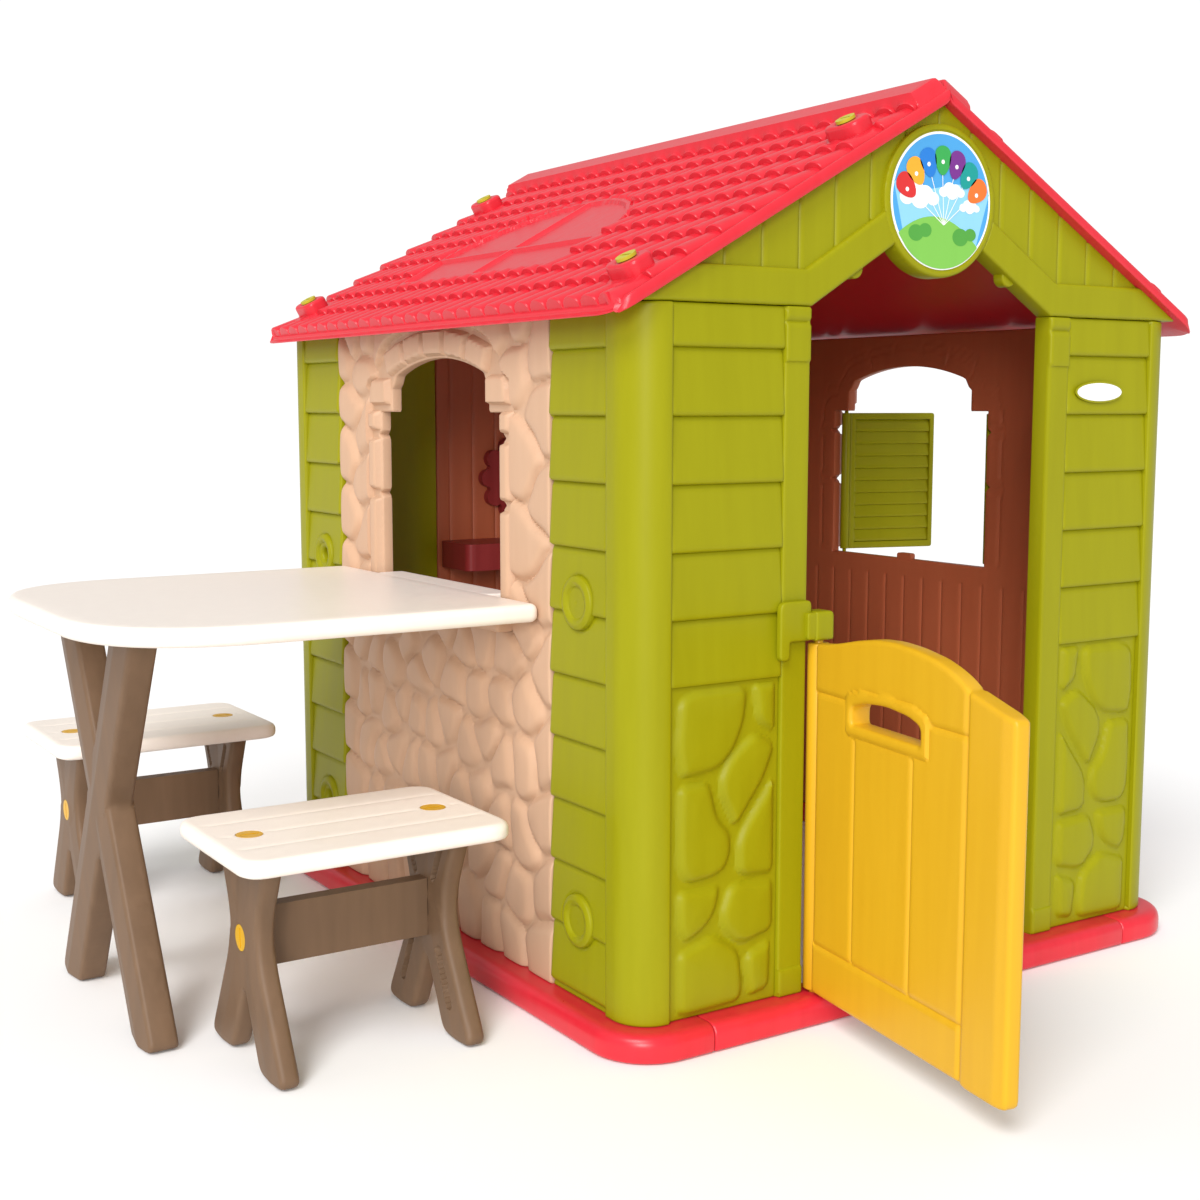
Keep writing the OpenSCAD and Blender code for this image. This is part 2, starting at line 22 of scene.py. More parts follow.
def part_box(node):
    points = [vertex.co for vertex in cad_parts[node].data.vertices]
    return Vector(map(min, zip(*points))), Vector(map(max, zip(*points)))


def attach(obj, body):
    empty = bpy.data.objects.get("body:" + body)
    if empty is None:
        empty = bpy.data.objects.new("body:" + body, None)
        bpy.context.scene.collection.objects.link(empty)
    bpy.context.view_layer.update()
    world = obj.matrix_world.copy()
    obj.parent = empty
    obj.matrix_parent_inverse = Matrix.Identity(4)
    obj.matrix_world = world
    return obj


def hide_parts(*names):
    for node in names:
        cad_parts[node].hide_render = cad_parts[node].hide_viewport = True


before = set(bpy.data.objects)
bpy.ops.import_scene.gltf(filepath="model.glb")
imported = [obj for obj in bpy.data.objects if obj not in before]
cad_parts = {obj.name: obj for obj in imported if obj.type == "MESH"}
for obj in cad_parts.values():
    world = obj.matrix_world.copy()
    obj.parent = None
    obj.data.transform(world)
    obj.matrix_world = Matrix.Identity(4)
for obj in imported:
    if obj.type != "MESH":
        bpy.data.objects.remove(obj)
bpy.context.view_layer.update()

# --- dimensions

HALF_W = 472.0
HALF_D = 525.0
BASE_H = 36.0
WALL_TOP = 908.0
DOORWAY_HALF = 211.0
SIDE_HALF = 325.0
POST_T = 30.0
CORNER_R = 50.0

SILL_Z = 523.0
WINDOW_HALF = 188.0

RIDGE_Z = 1192.0
CAP_RISE = 14.0
SLOPE = math.atan2(286.0, 510.0)
ROOF_RUN = 510.0
ROOF_HALF = 537.0

BOSS_Z = 1048.0
DOOR_PIN = (-195.0, -527.0)
DOOR_OPEN = math.radians(98.5)
SHUTTER_PIN = (462.0, 178.0)
TABLE_TOP = 535.0
STOOL_TOP = 280.0
STOOLS = {"front": (-731.0, -268.0), "back": (-742.0, 475.0)}


def house_origin():
    """The middle of the house's floor, in metres in the CAD frame."""
    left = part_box("base_left")
    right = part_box("base_right")
    return np.array([(left[0][0] + right[1][0]) / 2, (left[0][1] + left[1][1]) / 2, 0.0])


ORIGIN = house_origin()
# Points handled at a time where every point is compared with every edge or stone
CHUNK = 20000
# An edge turned more than this stays sharp
SHARP_ANGLE = math.radians(38)


def to_world(points):
    return np.asarray(points, float) * 0.001 + ORIGIN


# --- outlines in 2-D


def rect(u0, v0, u1, v1):
    return [(u0, v0), (u1, v0), (u1, v1), (u0, v1)]


def mirrored(points):
    """The same outline mirrored in u, still running the same way round."""
    return [(-u, v) for u, v in reversed(points)]


def circle(u, v, r, count=48, squash=1.0):
    turns = [2 * math.pi * i / count for i in range(count)]
    return [(u + r * math.cos(a), v + squash * r * math.sin(a)) for a in turns]


def arc(u, v, r, start, end, count):
    turns = [math.radians(start + (end - start) * i / count) for i in range(count + 1)]
    return [(u + r * math.cos(a), v + r * math.sin(a)) for a in turns]


def soften(points, reach, steps=5):
    """Rounds each corner of an outline, starting `reach` before it. reach may be a list."""
    count = len(points)
    reaches = list(reach) if hasattr(reach, "__len__") else [reach] * count
    smooth = []
    for i in range(count):
        corner = np.array(points[i], float)
        before = np.array(points[i - 1], float) - corner
        after = np.array(points[(i + 1) % count], float) - corner
        if reaches[i] <= 0:
            smooth.append(tuple(corner))
            continue
        r = min(reaches[i], 0.48 * np.linalg.norm(before), 0.48 * np.linalg.norm(after))
        a = corner + before / np.linalg.norm(before) * r
        b = corner + after / np.linalg.norm(after) * r
        for k in range(steps + 1):
            t = k / steps
            smooth.append(tuple((1 - t) ** 2 * a + 2 * t * (1 - t) * corner + t * t * b))
    return smooth


def resample(loop, step):
    """Adds points along an outline's long edges."""
    loop = np.asarray(loop, float)
    points = []
    for a, b in zip(loop, np.roll(loop, -1, axis=0)):
        length = np.linalg.norm(b - a)
        if length < 1e-6:
            continue
        count = max(1, int(math.ceil(length / step)))
        points.extend(a + (b - a) * i / count for i in range(count))
    return np.array(points)


def loop_distance(points, loop):
    """Distance from points to a closed outline, positive inside it."""
    loop = np.asarray(loop, float)
    a, b = loop, np.roll(loop, -1, axis=0)
    edge = b - a
    length2 = np.maximum((edge ** 2).sum(1), 1e-12)
    result = np.empty(len(points))
    for start in range(0, len(points), CHUNK):
        p = points[start:start + CHUNK]
        du = p[:, None, 0] - a[None, :, 0]
        dv = p[:, None, 1] - a[None, :, 1]
        t = np.clip((du * edge[:, 0] + dv * edge[:, 1]) / length2, 0, 1)
        near = (du - t * edge[:, 0]) ** 2 + (dv - t * edge[:, 1]) ** 2
        above = a[None, :, 1] > p[:, None, 1]
        crosses = above != (b[None, :, 1] > p[:, None, 1])
        rise = np.where(np.abs(edge[:, 1]) < 1e-12, 1e-12, edge[:, 1])
        right = p[:, None, 0] < a[None, :, 0] + edge[:, 0] * dv / rise
        inside = (crosses & right).sum(1) % 2 == 1
        result[start:start + CHUNK] = np.sqrt(near.min(1)) * np.where(inside, 1, -1)
    return result


def region_distance(points, outer, holes):
    """Distance to the nearest edge of an outline with holes, positive in the material."""
    distance = loop_distance(points, outer)
    for hole in holes:
        distance = np.minimum(distance, -loop_distance(points, hole))
    return distance


# --- triangulation


def nearest(points, marks):
    """Each point's distance to the nearest mark."""
    points = np.asarray(points, float).reshape(-1, 2)
    tree = KDTree(len(marks))
    for i, mark in enumerate(marks):
        tree.insert((mark[0], mark[1], 0), i)
    tree.balance()
    return np.array([tree.find((u, v, 0))[2] for u, v in points])


def grid_lines(low, high, cell, extra=()):
    """Evenly spaced lines from low to high that also pass through the extra values."""
    stops = sorted({low, high, *[e for e in extra if low < e < high]})
    lines = [low]
    for a, b in zip(stops, stops[1:]):
        count = max(1, int(round((b - a) / cell)))
        lines.extend(a + (b - a) * (i + 1) / count for i in range(count))
    return np.array(lines)


def inner_rings(loops, outer, holes, depths):
    """Points just inside every edge, at each of the given depths."""
    rings = []
    for loop in loops:
        along = np.roll(loop, -1, axis=0) - np.roll(loop, 1, axis=0)
        normal = np.stack([-along[:, 1], along[:, 0]], 1)
        normal /= np.maximum(np.linalg.norm(normal, axis=1, keepdims=True), 1e-9)
        probe = loop + normal * 0.05
        if np.mean(region_distance(probe[::7], outer, holes)) < 0:
            normal = -normal
        for depth in depths:
            ring = loop + normal * depth
            rings.append(ring[region_distance(ring, outer, holes) > 0.93 * depth])
    return rings


def triangulate(loops, inside_points, outer, holes):
    points = np.concatenate(list(loops) + list(inside_points))
    edges = []
    start = 0
    for loop in loops:
        count = len(loop)
        edges.extend((start + i, start + (i + 1) % count) for i in range(count))
        start += count
    made = delaunay_2d_cdt([Vector(p) for p in points], edges, [], 0, 1e-6)
    source = np.array([ids[0] if ids else -1 for ids in made[3]])
    if len(source) != len(points) or source.min() < 0:
        raise ValueError("an outline crosses itself or a point is doubled")
    triangles = source[np.array(made[2])]
    on_edge = (triangles < start).all(1)
    middle = points[triangles[on_edge]].mean(1)
    keep = np.ones(len(triangles), bool)
    keep[on_edge] = region_distance(middle, outer, holes) > 0
    return points, triangles[keep], edges


def beside(line, closed=False, off=0.35, step=2.6):
    """Points close on either side of a line, so that a step in the relief stays crisp."""
    line = np.asarray(line, float)
    ends = np.roll(line, -1, axis=0) if closed else line[1:]
    points = []
    for a, b in zip(line if closed else line[:-1], ends):
        along = b - a
        length = np.linalg.norm(along)
        across = np.array([-along[1], along[0]]) / length * off
        count = max(1, int(math.ceil(length / step)))
        for i in range(count):
            at = a + along * i / count
            points += [at + across, at - across]
    return np.array(points)


def net(outer, holes, cell, rings, lines_u=(), lines_v=(), step=None, features=()):
    """Triangulates an outline with holes. Returns points, triangles, edges and depths."""
    loops = [resample(loop, step or cell) for loop in (outer, *holes)]
    inside = inner_rings(loops, outer, holes, rings)
    flat = np.asarray(outer, float)
    us = grid_lines(flat[:, 0].min(), flat[:, 0].max(), cell, lines_u)
    vs = grid_lines(flat[:, 1].min(), flat[:, 1].max(), cell, lines_v)
    grid = np.stack([axis.ravel() for axis in np.meshgrid(us, vs)], 1)
    margin = (max(rings) if rings else 0) + 0.4 * cell
    grid = grid[region_distance(grid, outer, holes) > margin]
    if len(features):
        marks = np.concatenate(features)
        marks = marks[region_distance(marks, outer, holes) > 0.6 * cell]
        grid = grid[nearest(grid, marks) > 0.45 * cell]
        inside = [ring[nearest(ring, marks) > 0.2 * cell] for ring in inside] + [marks]
    inside.append(grid)
    points, triangles, edges = triangulate(loops, inside, outer, holes)
    depth = np.maximum(region_distance(points, outer, holes), 0)
    depth[:len(edges)] = 0
    return points, triangles, edges, depth


# --- relief functions


def ramp(x, low, high):
    """0 below low, 1 above high, smooth between."""
    t = np.clip((x - low) / (high - low), 0, 1)
    return t * t * (3 - 2 * t)


def roll(depth, r):
    """How far a round edge of radius r falls at a depth inside that edge."""
    t = np.clip(depth, 0, r)
    return r - np.sqrt(np.maximum(r * r - (r - t) ** 2, 0))


def pillow(depth, rise, r):
    """Height of a cushion-shaped rise at a depth inside its outline."""
    t = np.clip(depth / r, 0, 1)
    return rise * np.sqrt(np.maximum(1 - (1 - t) ** 2, 0))


def dome(depth, rise, r):
    """A softer rise than pillow(), that starts at a slope instead of upright."""
    t = np.clip(depth / r, 0, 1)
    return rise * t * (2 - t)


def valley(x, width, depth):
    """A soft groove along x = 0."""
    return -depth * np.exp(-(x / (0.6 * width)) ** 2)


def off_line(x, pitch):
    """Signed distance from the nearest of the lines at every whole pitch."""
    return np.mod(x + pitch / 2, pitch) - pitch / 2


def raised(points, outline, rise, r):
    """A dome over an outline, and nothing outside it."""
    flat = np.asarray(outline, float)
    low, high = flat.min(0), flat.max(0)
    near = ((points >= low) & (points <= high)).all(1)
    height = np.zeros(len(points))
    if near.any():
        height[near] = dome(np.maximum(loop_distance(points[near], outline), 0), rise, r)
    return height


# --- mesh pieces


def add_object(name, data):
    made = bpy.data.objects.new(name, data)
    bpy.context.scene.collection.objects.link(made)
    return made


def make_piece(name, mesh, material, replaces=(), body="house"):
    """A visible piece that rides on a body and may take the place of CAD parts."""
    verts, faces = mesh
    data = bpy.data.meshes.new(name)
    data.from_pydata(to_world(verts).tolist(), [], faces)
    work = bmesh.new()
    work.from_mesh(data)
    bmesh.ops.recalc_face_normals(work, faces=work.faces)
    work.to_mesh(data)
    work.free()
    data.materials.append(material)
    data.shade_smooth()
    data.set_sharp_from_angle(angle=SHARP_ANGLE)
    piece = add_object(name, data)
    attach(piece, body)
    if replaces:
        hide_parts(*replaces)


def shell_mesh(outer, holes, cell, front, back, rings=(1.3, 3.2), lines_u=(), lines_v=(),
               back_net=(45.0, (), (), ()), features=()):
    """Vertices and faces of a closed shell. front and back take points and edge depths."""
    points, triangles, edges, depth = net(outer, holes, cell, rings, lines_u, lines_v,
                                          features=features)
    rear = net(outer, holes, *back_net, step=cell)
    verts = np.concatenate([front(points, depth), back(rear[0], rear[3])])
    count = len(points)
    faces = triangles.tolist() + (rear[1][:, ::-1] + count).tolist()
    faces += [(a, b, b + count, a + count) for a, b in edges]
    return verts, faces


def join_meshes(parts):
    verts, faces, start = [], [], 0
    for part_verts, part_faces in parts:
        verts.append(np.asarray(part_verts, float))
        faces.extend([tuple(i + start for i in face) for face in part_faces])
        start += len(part_verts)
    return np.concatenate(verts), faces


def plane(origin, u_axis, v_axis, n_axis):
    """A function that lays (u, v) points and heights on a flat surface."""
    o, eu, ev, en = (np.array(v, float) for v in (origin, u_axis, v_axis, n_axis))

    def lay(points, height):
        return o + points[:, :1] * eu + points[:, 1:] * ev + np.asarray(height)[:, None] * en

    return lay


def facing_x(x, side, y=0):
    """An upright surface that takes (y, z) points and looks along side * x."""
    return plane((x, y, 0), (0, 1, 0), (0, 0, 1), (side, 0, 0))


def facing_y(y, side):
    """An upright surface that takes (x, z) points and looks along side * y."""
    return plane((0, y, 0), (1, 0, 0), (0, 0, 1), (0, side, 0))


def facing_up(x=0, y=0):
    """The level surface that takes (x, y) points from a middle."""
    return plane((x, y, 0), (1, 0, 0), (0, 1, 0), (0, 0, 1))


def on_pitch(base):
    """A surface parallel to the left roof panel that takes (down the slope, y) points."""
    c, s = math.cos(SLOPE), math.sin(SLOPE)
    return plane(base, (-c, 0, -s), (0, 1, 0), (-s, 0, c))


def relieved(lay, relief):
    """Lays points on a surface at the heights that a relief gives them."""
    return lambda points, depth: lay(points, relief(points, depth))


def leaf_mesh(outer, holes, cell, faces, rings, lines_u=(), lines_v=()):
    """A shell with a relief and the same fine net on both faces."""
    return shell_mesh(outer, holes, cell, relieved(*faces[0]), relieved(*faces[1]), rings,
                      lines_u, lines_v, back_net=(cell, rings, lines_u, lines_v))


def slab_mesh(outer, lay, top, bottom, r_top, r_bottom, cell=6.0, holes=()):
    """A plate between two heights whose edges are rounded on both faces."""
    def rings(r):
        return tuple(r * f for f in (0.08, 0.3, 0.62, 1.0)) if r else ()

    def front(points, depth):
        return lay(points, top - roll(depth, r_top))

    def back(points, depth):
        return lay(points, bottom + roll(depth, r_bottom))

    return shell_mesh(outer, holes, cell, front, back, rings(r_top),
                      back_net=(max(cell, 12.0), rings(r_bottom), (), ()))


def sweep_mesh(path, normals, profile):
    """Sweeps a closed (across, up) profile along a level path, with flat ends."""
    count = len(profile)
    verts = [(p[0] + n[0] * a, p[1] + n[1] * a, z)
             for p, n in zip(path, normals) for a, z in profile]
    faces = []
    for i in range(len(path) - 1):
        for j in range(count):
            k = (j + 1) % count
            faces.append((i * count + j, i * count + k, (i + 1) * count + k, (i + 1) * count + j))
    faces.append(tuple(range(count)))
    last = (len(path) - 1) * count
    faces.append(tuple(range(last, last + count))[::-1])
    return verts, faces


# --- materials


# The drift of tint is stretched along z, and the grain is fine and even
DRIFT_SCALE = (60, 60, 6)
GRAIN_SCALE = 900


def add_node(tree, kind, **values):
    """Adds a node and sets its sockets. A socket's name has _ for each space."""
    made = tree.nodes.new(kind)
    for key, value in values.items():
        made.inputs[key.replace("_", " ")].default_value = value
    return made


def new_material(name):
    """A material's data, its node tree and its shader."""
    material = bpy.data.materials.new(name)
    material.use_nodes = True
    return material, material.node_tree, material.node_tree.nodes["Principled BSDF"]


def moulded_plastic(name, color, deep, rough=0.38, grain_depth=0.03, spread=0.5, specular=0.3):
    """Moulded plastic: a soft drift between two tints, a fine grain and uneven gloss."""
    material, tree, shader = new_material(name)
    place = add_node(tree, "ShaderNodeTexCoord")
    stretch = add_node(tree, "ShaderNodeMapping", Scale=DRIFT_SCALE)
    drift = add_node(tree, "ShaderNodeTexNoise", Scale=1.0, Detail=4.0)
    tint = add_node(tree, "ShaderNodeValToRGB")
    for end, at, shade in zip(tint.color_ramp.elements, (-0.5, 0.5), (deep, color)):
        end.position = 0.5 + at * spread
        end.color = (*shade, 1)
    fine = add_node(tree, "ShaderNodeTexNoise", Scale=GRAIN_SCALE, Detail=2.0)
    gloss = add_node(tree, "ShaderNodeMapRange", To_Min=rough - 0.06, To_Max=rough + 0.08)
    bump = add_node(tree, "ShaderNodeBump", Strength=0.35, Distance=grain_depth * 0.001)
    for source, out, target, socket in (
            (place, "Object", stretch, "Vector"), (stretch, "Vector", drift, "Vector"),
            (place, "Object", fine, "Vector"), (drift, "Fac", tint, "Fac"),
            (tint, "Color", shader, "Base Color"), (drift, "Fac", gloss, "Value"),
            (gloss, "Result", shader, "Roughness"), (fine, "Fac", bump, "Height"),
            (bump, "Normal", shader, "Normal")):
        tree.links.new(source.outputs[out], target.inputs[socket])
    shader.inputs["IOR"].default_value = 1.49
    shader.inputs["Specular IOR Level"].default_value = specular
    return material


green = moulded_plastic("green_plastic", (0.285, 0.275, 0.003), (0.265, 0.255, 0.0025),
                        specular=0.16)
beige = moulded_plastic("beige_plastic", (0.58, 0.37, 0.24), (0.55, 0.345, 0.22), rough=0.45)
pale = moulded_plastic("table_plastic", (0.92, 0.84, 0.76), (0.90, 0.81, 0.73), rough=0.36)
red = moulded_plastic("red_plastic", (0.66, 0.022, 0.038), (0.61, 0.018, 0.031), rough=0.3,
                      specular=0.4)
brown = moulded_plastic("brown_plastic", (0.46, 0.118, 0.05), (0.43, 0.106, 0.044), rough=0.42)
dark_red = moulded_plastic("dark_red_plastic", (0.30, 0.03, 0.03), (0.24, 0.02, 0.02))
taupe = moulded_plastic("taupe_plastic", (0.18, 0.106, 0.06), (0.145, 0.085, 0.047), rough=0.5,
                        grain_depth=0.12)
yellow = moulded_plastic("yellow_plastic", (0.67, 0.375, 0.014), (0.64, 0.35, 0.012), rough=0.36)
lime = moulded_plastic("lime_plastic", (0.52, 0.48, 0.03), (0.47, 0.43, 0.025))
film = moulded_plastic("white_film", (0.88, 0.88, 0.87), (0.85, 0.85, 0.84), rough=0.3)


# --- base ring

BASE_OUT = 30.0
BASE_IN = 34.0
BASE_CORNER = 80.0
BASE_JOINT = 372.0
JOINT_GAP = 0.6


def base_profile():
    """The ring's section: a round outer shoulder and a small inner one."""
    width = BASE_OUT + BASE_IN
    points = [(-width, 0), (0, 0), (0, BASE_H), (-width, BASE_H)]
    return soften(points, [4, 9, 30, 9], steps=8)


def base_side_path():
    """The left piece's outer line, from its front joint to its back joint."""
    x, y = HALF_W + BASE_OUT, HALF_D + BASE_OUT
    points = [(-BASE_JOINT - JOINT_GAP, -y), (-(BASE_JOINT + x - BASE_CORNER) / 2, -y)]
    points += arc(-x + BASE_CORNER, -y + BASE_CORNER, BASE_CORNER, 270, 180, 14)
    points += [(-x, y * i / 6 - y / 2) for i in range(1, 6)]
    points += arc(-x + BASE_CORNER, y - BASE_CORNER, BASE_CORNER, 180, 90, 14)
    points += [(-(BASE_JOINT + x - BASE_CORNER) / 2, y), (-BASE_JOINT - JOINT_GAP, y)]
    return points


def outward_normals(path):
    path = np.asarray(path, float)
    along = np.gradient(path, axis=0)
    normal = np.stack([along[:, 1], -along[:, 0]], 1)
    normal /= np.linalg.norm(normal, axis=1, keepdims=True)
    if (normal * path).sum() < 0:
        normal = -normal
    return normal


# How far in from each end of a sweep, and how much its section shrinks there
END_STEPS = ((0.0, 0.94), (1.0, 0.975), (3.0, 1.0))


def shrink_ends(path, normals, profile):
    """Sweeps a profile and rounds both ends of the sweep a little."""
    path = np.asarray(path, float)
    along = [path[1] - path[0], path[-2] - path[-1]]
    along = [a / np.linalg.norm(a) for a in along]
    rows = [(path[0] + along[0] * inset, normals[0], scale) for inset, scale in END_STEPS]
    rows += [(p, n, 1.0) for p, n in zip(path[1:-1], normals[1:-1])]
    rows += [(path[-1] + along[1] * inset, normals[-1], scale)
             for inset, scale in reversed(END_STEPS)]
    verts, faces = sweep_mesh([r[0] for r in rows], [r[1] for r in rows], profile)
    verts = np.array(verts)
    centre = np.mean(profile, axis=0)
    count = len(profile)
    for i, (p, n, scale) in enumerate(rows):
        if scale < 1:
            section = centre + (np.asarray(profile) - centre) * scale
            ring = verts[i * count:(i + 1) * count]
            ring[:, 0] = p[0] + n[0] * section[:, 0]
            ring[:, 1] = p[1] + n[1] * section[:, 0]
            ring[:, 2] = np.maximum(section[:, 1], 0.0)
    return verts, faces


def build_base():
    profile = base_profile()
    path = base_side_path()
    verts, faces = shrink_ends(path, outward_normals(path), profile)
    for side, node in ((1, "base_left"), (-1, "base_right")):
        make_piece(node + "_ring", (verts * (side, 1, 1), faces), red, (node,))
    reach = BASE_JOINT - JOINT_GAP
    path = [(reach * (i / 5 - 1), -HALF_D - BASE_OUT) for i in range(11)]
    verts, faces = shrink_ends(path, [(0, -1)] * len(path), profile)
    for end, node in ((1, "base_front"), (-1, "base_back")):
        make_piece(node + "_ring", (verts * (1, end, 1), faces), red, (node,))


# --- corner posts

BOARD_PITCH = 81.0
BOARD_TOP = 856.0
PANEL_TOP = 452.0
POST_FRONT_FLAT = 261.0 - CORNER_R
POST_ARC = CORNER_R * math.pi / 2
POST_LENGTH = POST_FRONT_FLAT + POST_ARC + 200.0 - CORNER_R
TRIM_END = 40.0
FRONT_BAND = 261.0 - 53.0
SIDE_BAND = POST_FRONT_FLAT + POST_ARC + 66.0 - CORNER_R
BOSS_S = POST_FRONT_FLAT + POST_ARC + (200.0 + 66.0) / 2 - CORNER_R
BOSS_HEIGHTS = (545.0, 140.0)
BOSS_R = 34.0
HOLE_R = 11.0
RING_R = 27.0
CAP_LOW = 840.0
CAP_GROOVE = 889.0
FOOT_TOP = 72.0

# Moulded stones of the post's lower panel: (across from the corner, down from the top),
# as fractions of the panel
POST_STONES = [
    [(.04, .04), (.17, .015), (.64, .015), (.70, .035), (.68, .12), (.57, .21), (.42, .26),
     (.11, .272), (.05, .262), (.01, .18)],
    [(.75, .023), (.78, .012), (.96, .012), (.98, .026), (.98, .148), (.95, .165), (.83, .141),
     (.78, .115)],
    [(.77, .154), (.95, .195), (.97, .218), (.88, .302), (.625, .43), (.56, .433), (.43, .335),
     (.43, .284), (.50, .235)],
    [(.95, .305), (.975, .323), (.98, .577), (.95, .603), (.68, .597), (.61, .578), (.60, .50),
     (.65, .449)],
    [(.04, .30), (.11, .288), (.30, .288), (.355, .306), (.42, .404), (.55, .454), (.555, .515),
     (.50, .564), (.37, .585), (.13, .589), (.04, .549), (.025, .44)],
    [(.04, .612), (.11, .603), (.41, .608), (.445, .62), (.425, .67), (.34, .726), (.19, .758),
     (.11, .764), (.04, .727), (.025, .66)],
    [(.52, .624), (.60, .609), (.95, .62), (.975, .64), (.98, .754), (.95, .782), (.70, .805),
     (.60, .796), (.47, .747), (.445, .70)],
    [(.04, .804), (.08, .788), (.355, .757), (.445, .767), (.60, .809), (.65, .839), (.68, .927),
     (.665, .97), (.60, .985), (.11, .99), (.04, .974)],
    [(.70, .848), (.755, .83), (.92, .809), (.96, .818), (.95, .945), (.91, .965), (.77, .975),
     (.73, .965), (.70, .90)],
]


def clapboards(z):
    """Lapped boards: each leans out towards its round lower edge."""
    above = np.mod(z - BOARD_TOP, BOARD_PITCH)
    tuck = 2.2 * ramp(above, BOARD_PITCH - 7, BOARD_PITCH)
    return -1.0 - 5.4 * above / BOARD_PITCH - roll(above, 5.0) * 0.8 - tuck


def board_lines():
    edges = [BOARD_TOP - i * BOARD_PITCH for i in range(-1, 11)]
    return [e + d for e in edges for d in (-0.35, 0.35, 1.2, 3.0)]


def boss_relief(distance, height, is_open):
    """Concentric rings of the round boss, laid over the boards."""
    ring = -valley(distance - RING_R, 3.2, -2.2)
    boss = 0.6 - roll(BOSS_R - distance, 3.0) - ring - 2.6 * ramp(21.5 - distance, 0, 2.5)
    if is_open:
        boss = boss - 2.0 * ramp(HOLE_R + 5 - distance, 0, 4)
    else:
        boss = boss + valley(distance, 3.0, 1.8)
    edge = ramp(distance, BOSS_R, BOSS_R + 3.5)
    return np.where(distance < BOSS_R, boss, height - 1.6 * (1 - edge))


def stone_panel(points):
    """The nine moulded stones on a post's front, as heights above the panel's floor."""
    width = FRONT_BAND - TRIM_END - 10
    height = PANEL_TOP - BASE_H
    total = np.zeros(len(points))
    for stone in POST_STONES:
        outline = [(FRONT_BAND - 6 - u * width, PANEL_TOP - v * height) for u, v in stone]
        outline = soften(outline, 16, steps=4)
        crown = raised(points, outline, 2.4, 34.0)
        total = np.maximum(total, raised(points, outline, 6.0, 10.0) + crown)
    return total


def trim_relief(s, z):
    """The door jamb's trim, with a grooved cap and a foot."""
    edge = np.minimum(s, TRIM_END - s)
    shaft = -2.2 - roll(edge, 2.5)
    cap = 0.4 - roll(np.minimum(edge, z - CAP_LOW), 3.0) + valley(z - CAP_GROOVE, 4.0, 3.5)
    foot = 0.4 - roll(np.minimum(edge, FOOT_TOP - z), 3.0)
    return np.where(z > CAP_LOW, cap, np.where(z < FOOT_TOP, foot, shaft))


def post_relief(points, depth, open_bosses):
    """Heights over the post's whole face, from the jamb's trim round to the side's boards."""
    s, z = points[:, 0], points[:, 1]
    front = (s > TRIM_END) & (s < FRONT_BAND)
    to_band = np.where(s < FRONT_BAND + 20, s - FRONT_BAND, SIDE_BAND - s)
    height = -roll(np.maximum(to_band, 0), 2.5)
    ends = np.where(front, np.minimum(s - TRIM_END, FRONT_BAND - s), s - SIDE_BAND)
    boards = clapboards(z) - roll(np.maximum(ends, 0), 3.0) * 0.7
    height = np.where(front | (s > SIDE_BAND), boards, height)
    border = np.minimum(ends, PANEL_TOP - z)
    floor = -6.6 - 0.6 * roll(np.maximum(border, 0), 3.0)
    height = np.where(front & (z < PANEL_TOP - 0.1), floor + stone_panel(points), height)
    height = np.where(s <= TRIM_END, trim_relief(s, z), height)
    for boss_z in BOSS_HEIGHTS:
        distance = np.hypot(s - BOSS_S, z - boss_z)
        near = distance < BOSS_R + 4
        height = np.where(near, boss_relief(distance, height, open_bosses), height)
    return height - roll(depth, 3.5)


def wrap_post(points, height):
    """Lays (s, z) points on the front left post: jamb edge, front, round corner, side."""
    s, z = points[:, 0], points[:, 1]
    turn = np.clip((s - POST_FRONT_FLAT) / CORNER_R, 0, math.pi / 2)
    nx, ny = -np.sin(turn), -np.cos(turn)
    x = -HALF_W + CORNER_R + CORNER_R * nx + np.maximum(POST_FRONT_FLAT - s, 0)
    y = -HALF_D + CORNER_R + CORNER_R * ny + np.maximum(s - POST_FRONT_FLAT - POST_ARC, 0)
    return np.stack([x + nx * height, y + ny * height, z], 1)


def boss_rings():
    """The outer edge and the moulded ring of each boss."""
    rings = ((BOSS_R, 0.3), (BOSS_R - 2, 0.6), (RING_R, 1.2), (20.5, 1.2))
    return [beside(circle(BOSS_S, z, r, 90), True, off) for z in BOSS_HEIGHTS for r, off in rings]


def post_mesh(open_bosses):
    outer = rect(0.2, BASE_H, POST_LENGTH - 0.4, WALL_TOP - 0.4)
    holes = [circle(BOSS_S, z, HOLE_R, 32) for z in BOSS_HEIGHTS] if open_bosses else []
    turns = [POST_FRONT_FLAT + POST_ARC * i / 5 for i in range(6)]
    borders = [TRIM_END, FRONT_BAND, SIDE_BAND]
    lines_u = [b + d for b in borders for d in (-3, -1.2, -0.3, 0.3, 1.2, 3)] + turns
    lines_v = board_lines() + [b + d for b in (CAP_LOW, FOOT_TOP, CAP_GROOVE)
                               for d in (-1.5, -0.3, 0.3, 1.5)]

    def front(points, depth):
        return wrap_post(points, post_relief(points, depth, open_bosses))

    def back(points, depth):
        return wrap_post(points, -POST_T + roll(depth, 2.0))

    return shell_mesh(outer, holes, 3.4, front, back, (0.5, 1.6, 3.5), lines_u, lines_v,
                      back_net=(40.0, (0.5, 2.0), turns, ()), features=boss_rings())


def build_posts():
    closed, opened = post_mesh(False), post_mesh(True)
    for side, word_x in ((1, "left"), (-1, "right")):
        for end, word_y in ((1, "front"), (-1, "back")):
            verts, faces = closed if side * end > 0 else opened
            node = f"post_{word_y}_{word_x}"
            mesh = (verts * (side, end, 1), faces)
            make_piece(node + "_shell", mesh, green, (node,))


# --- walls

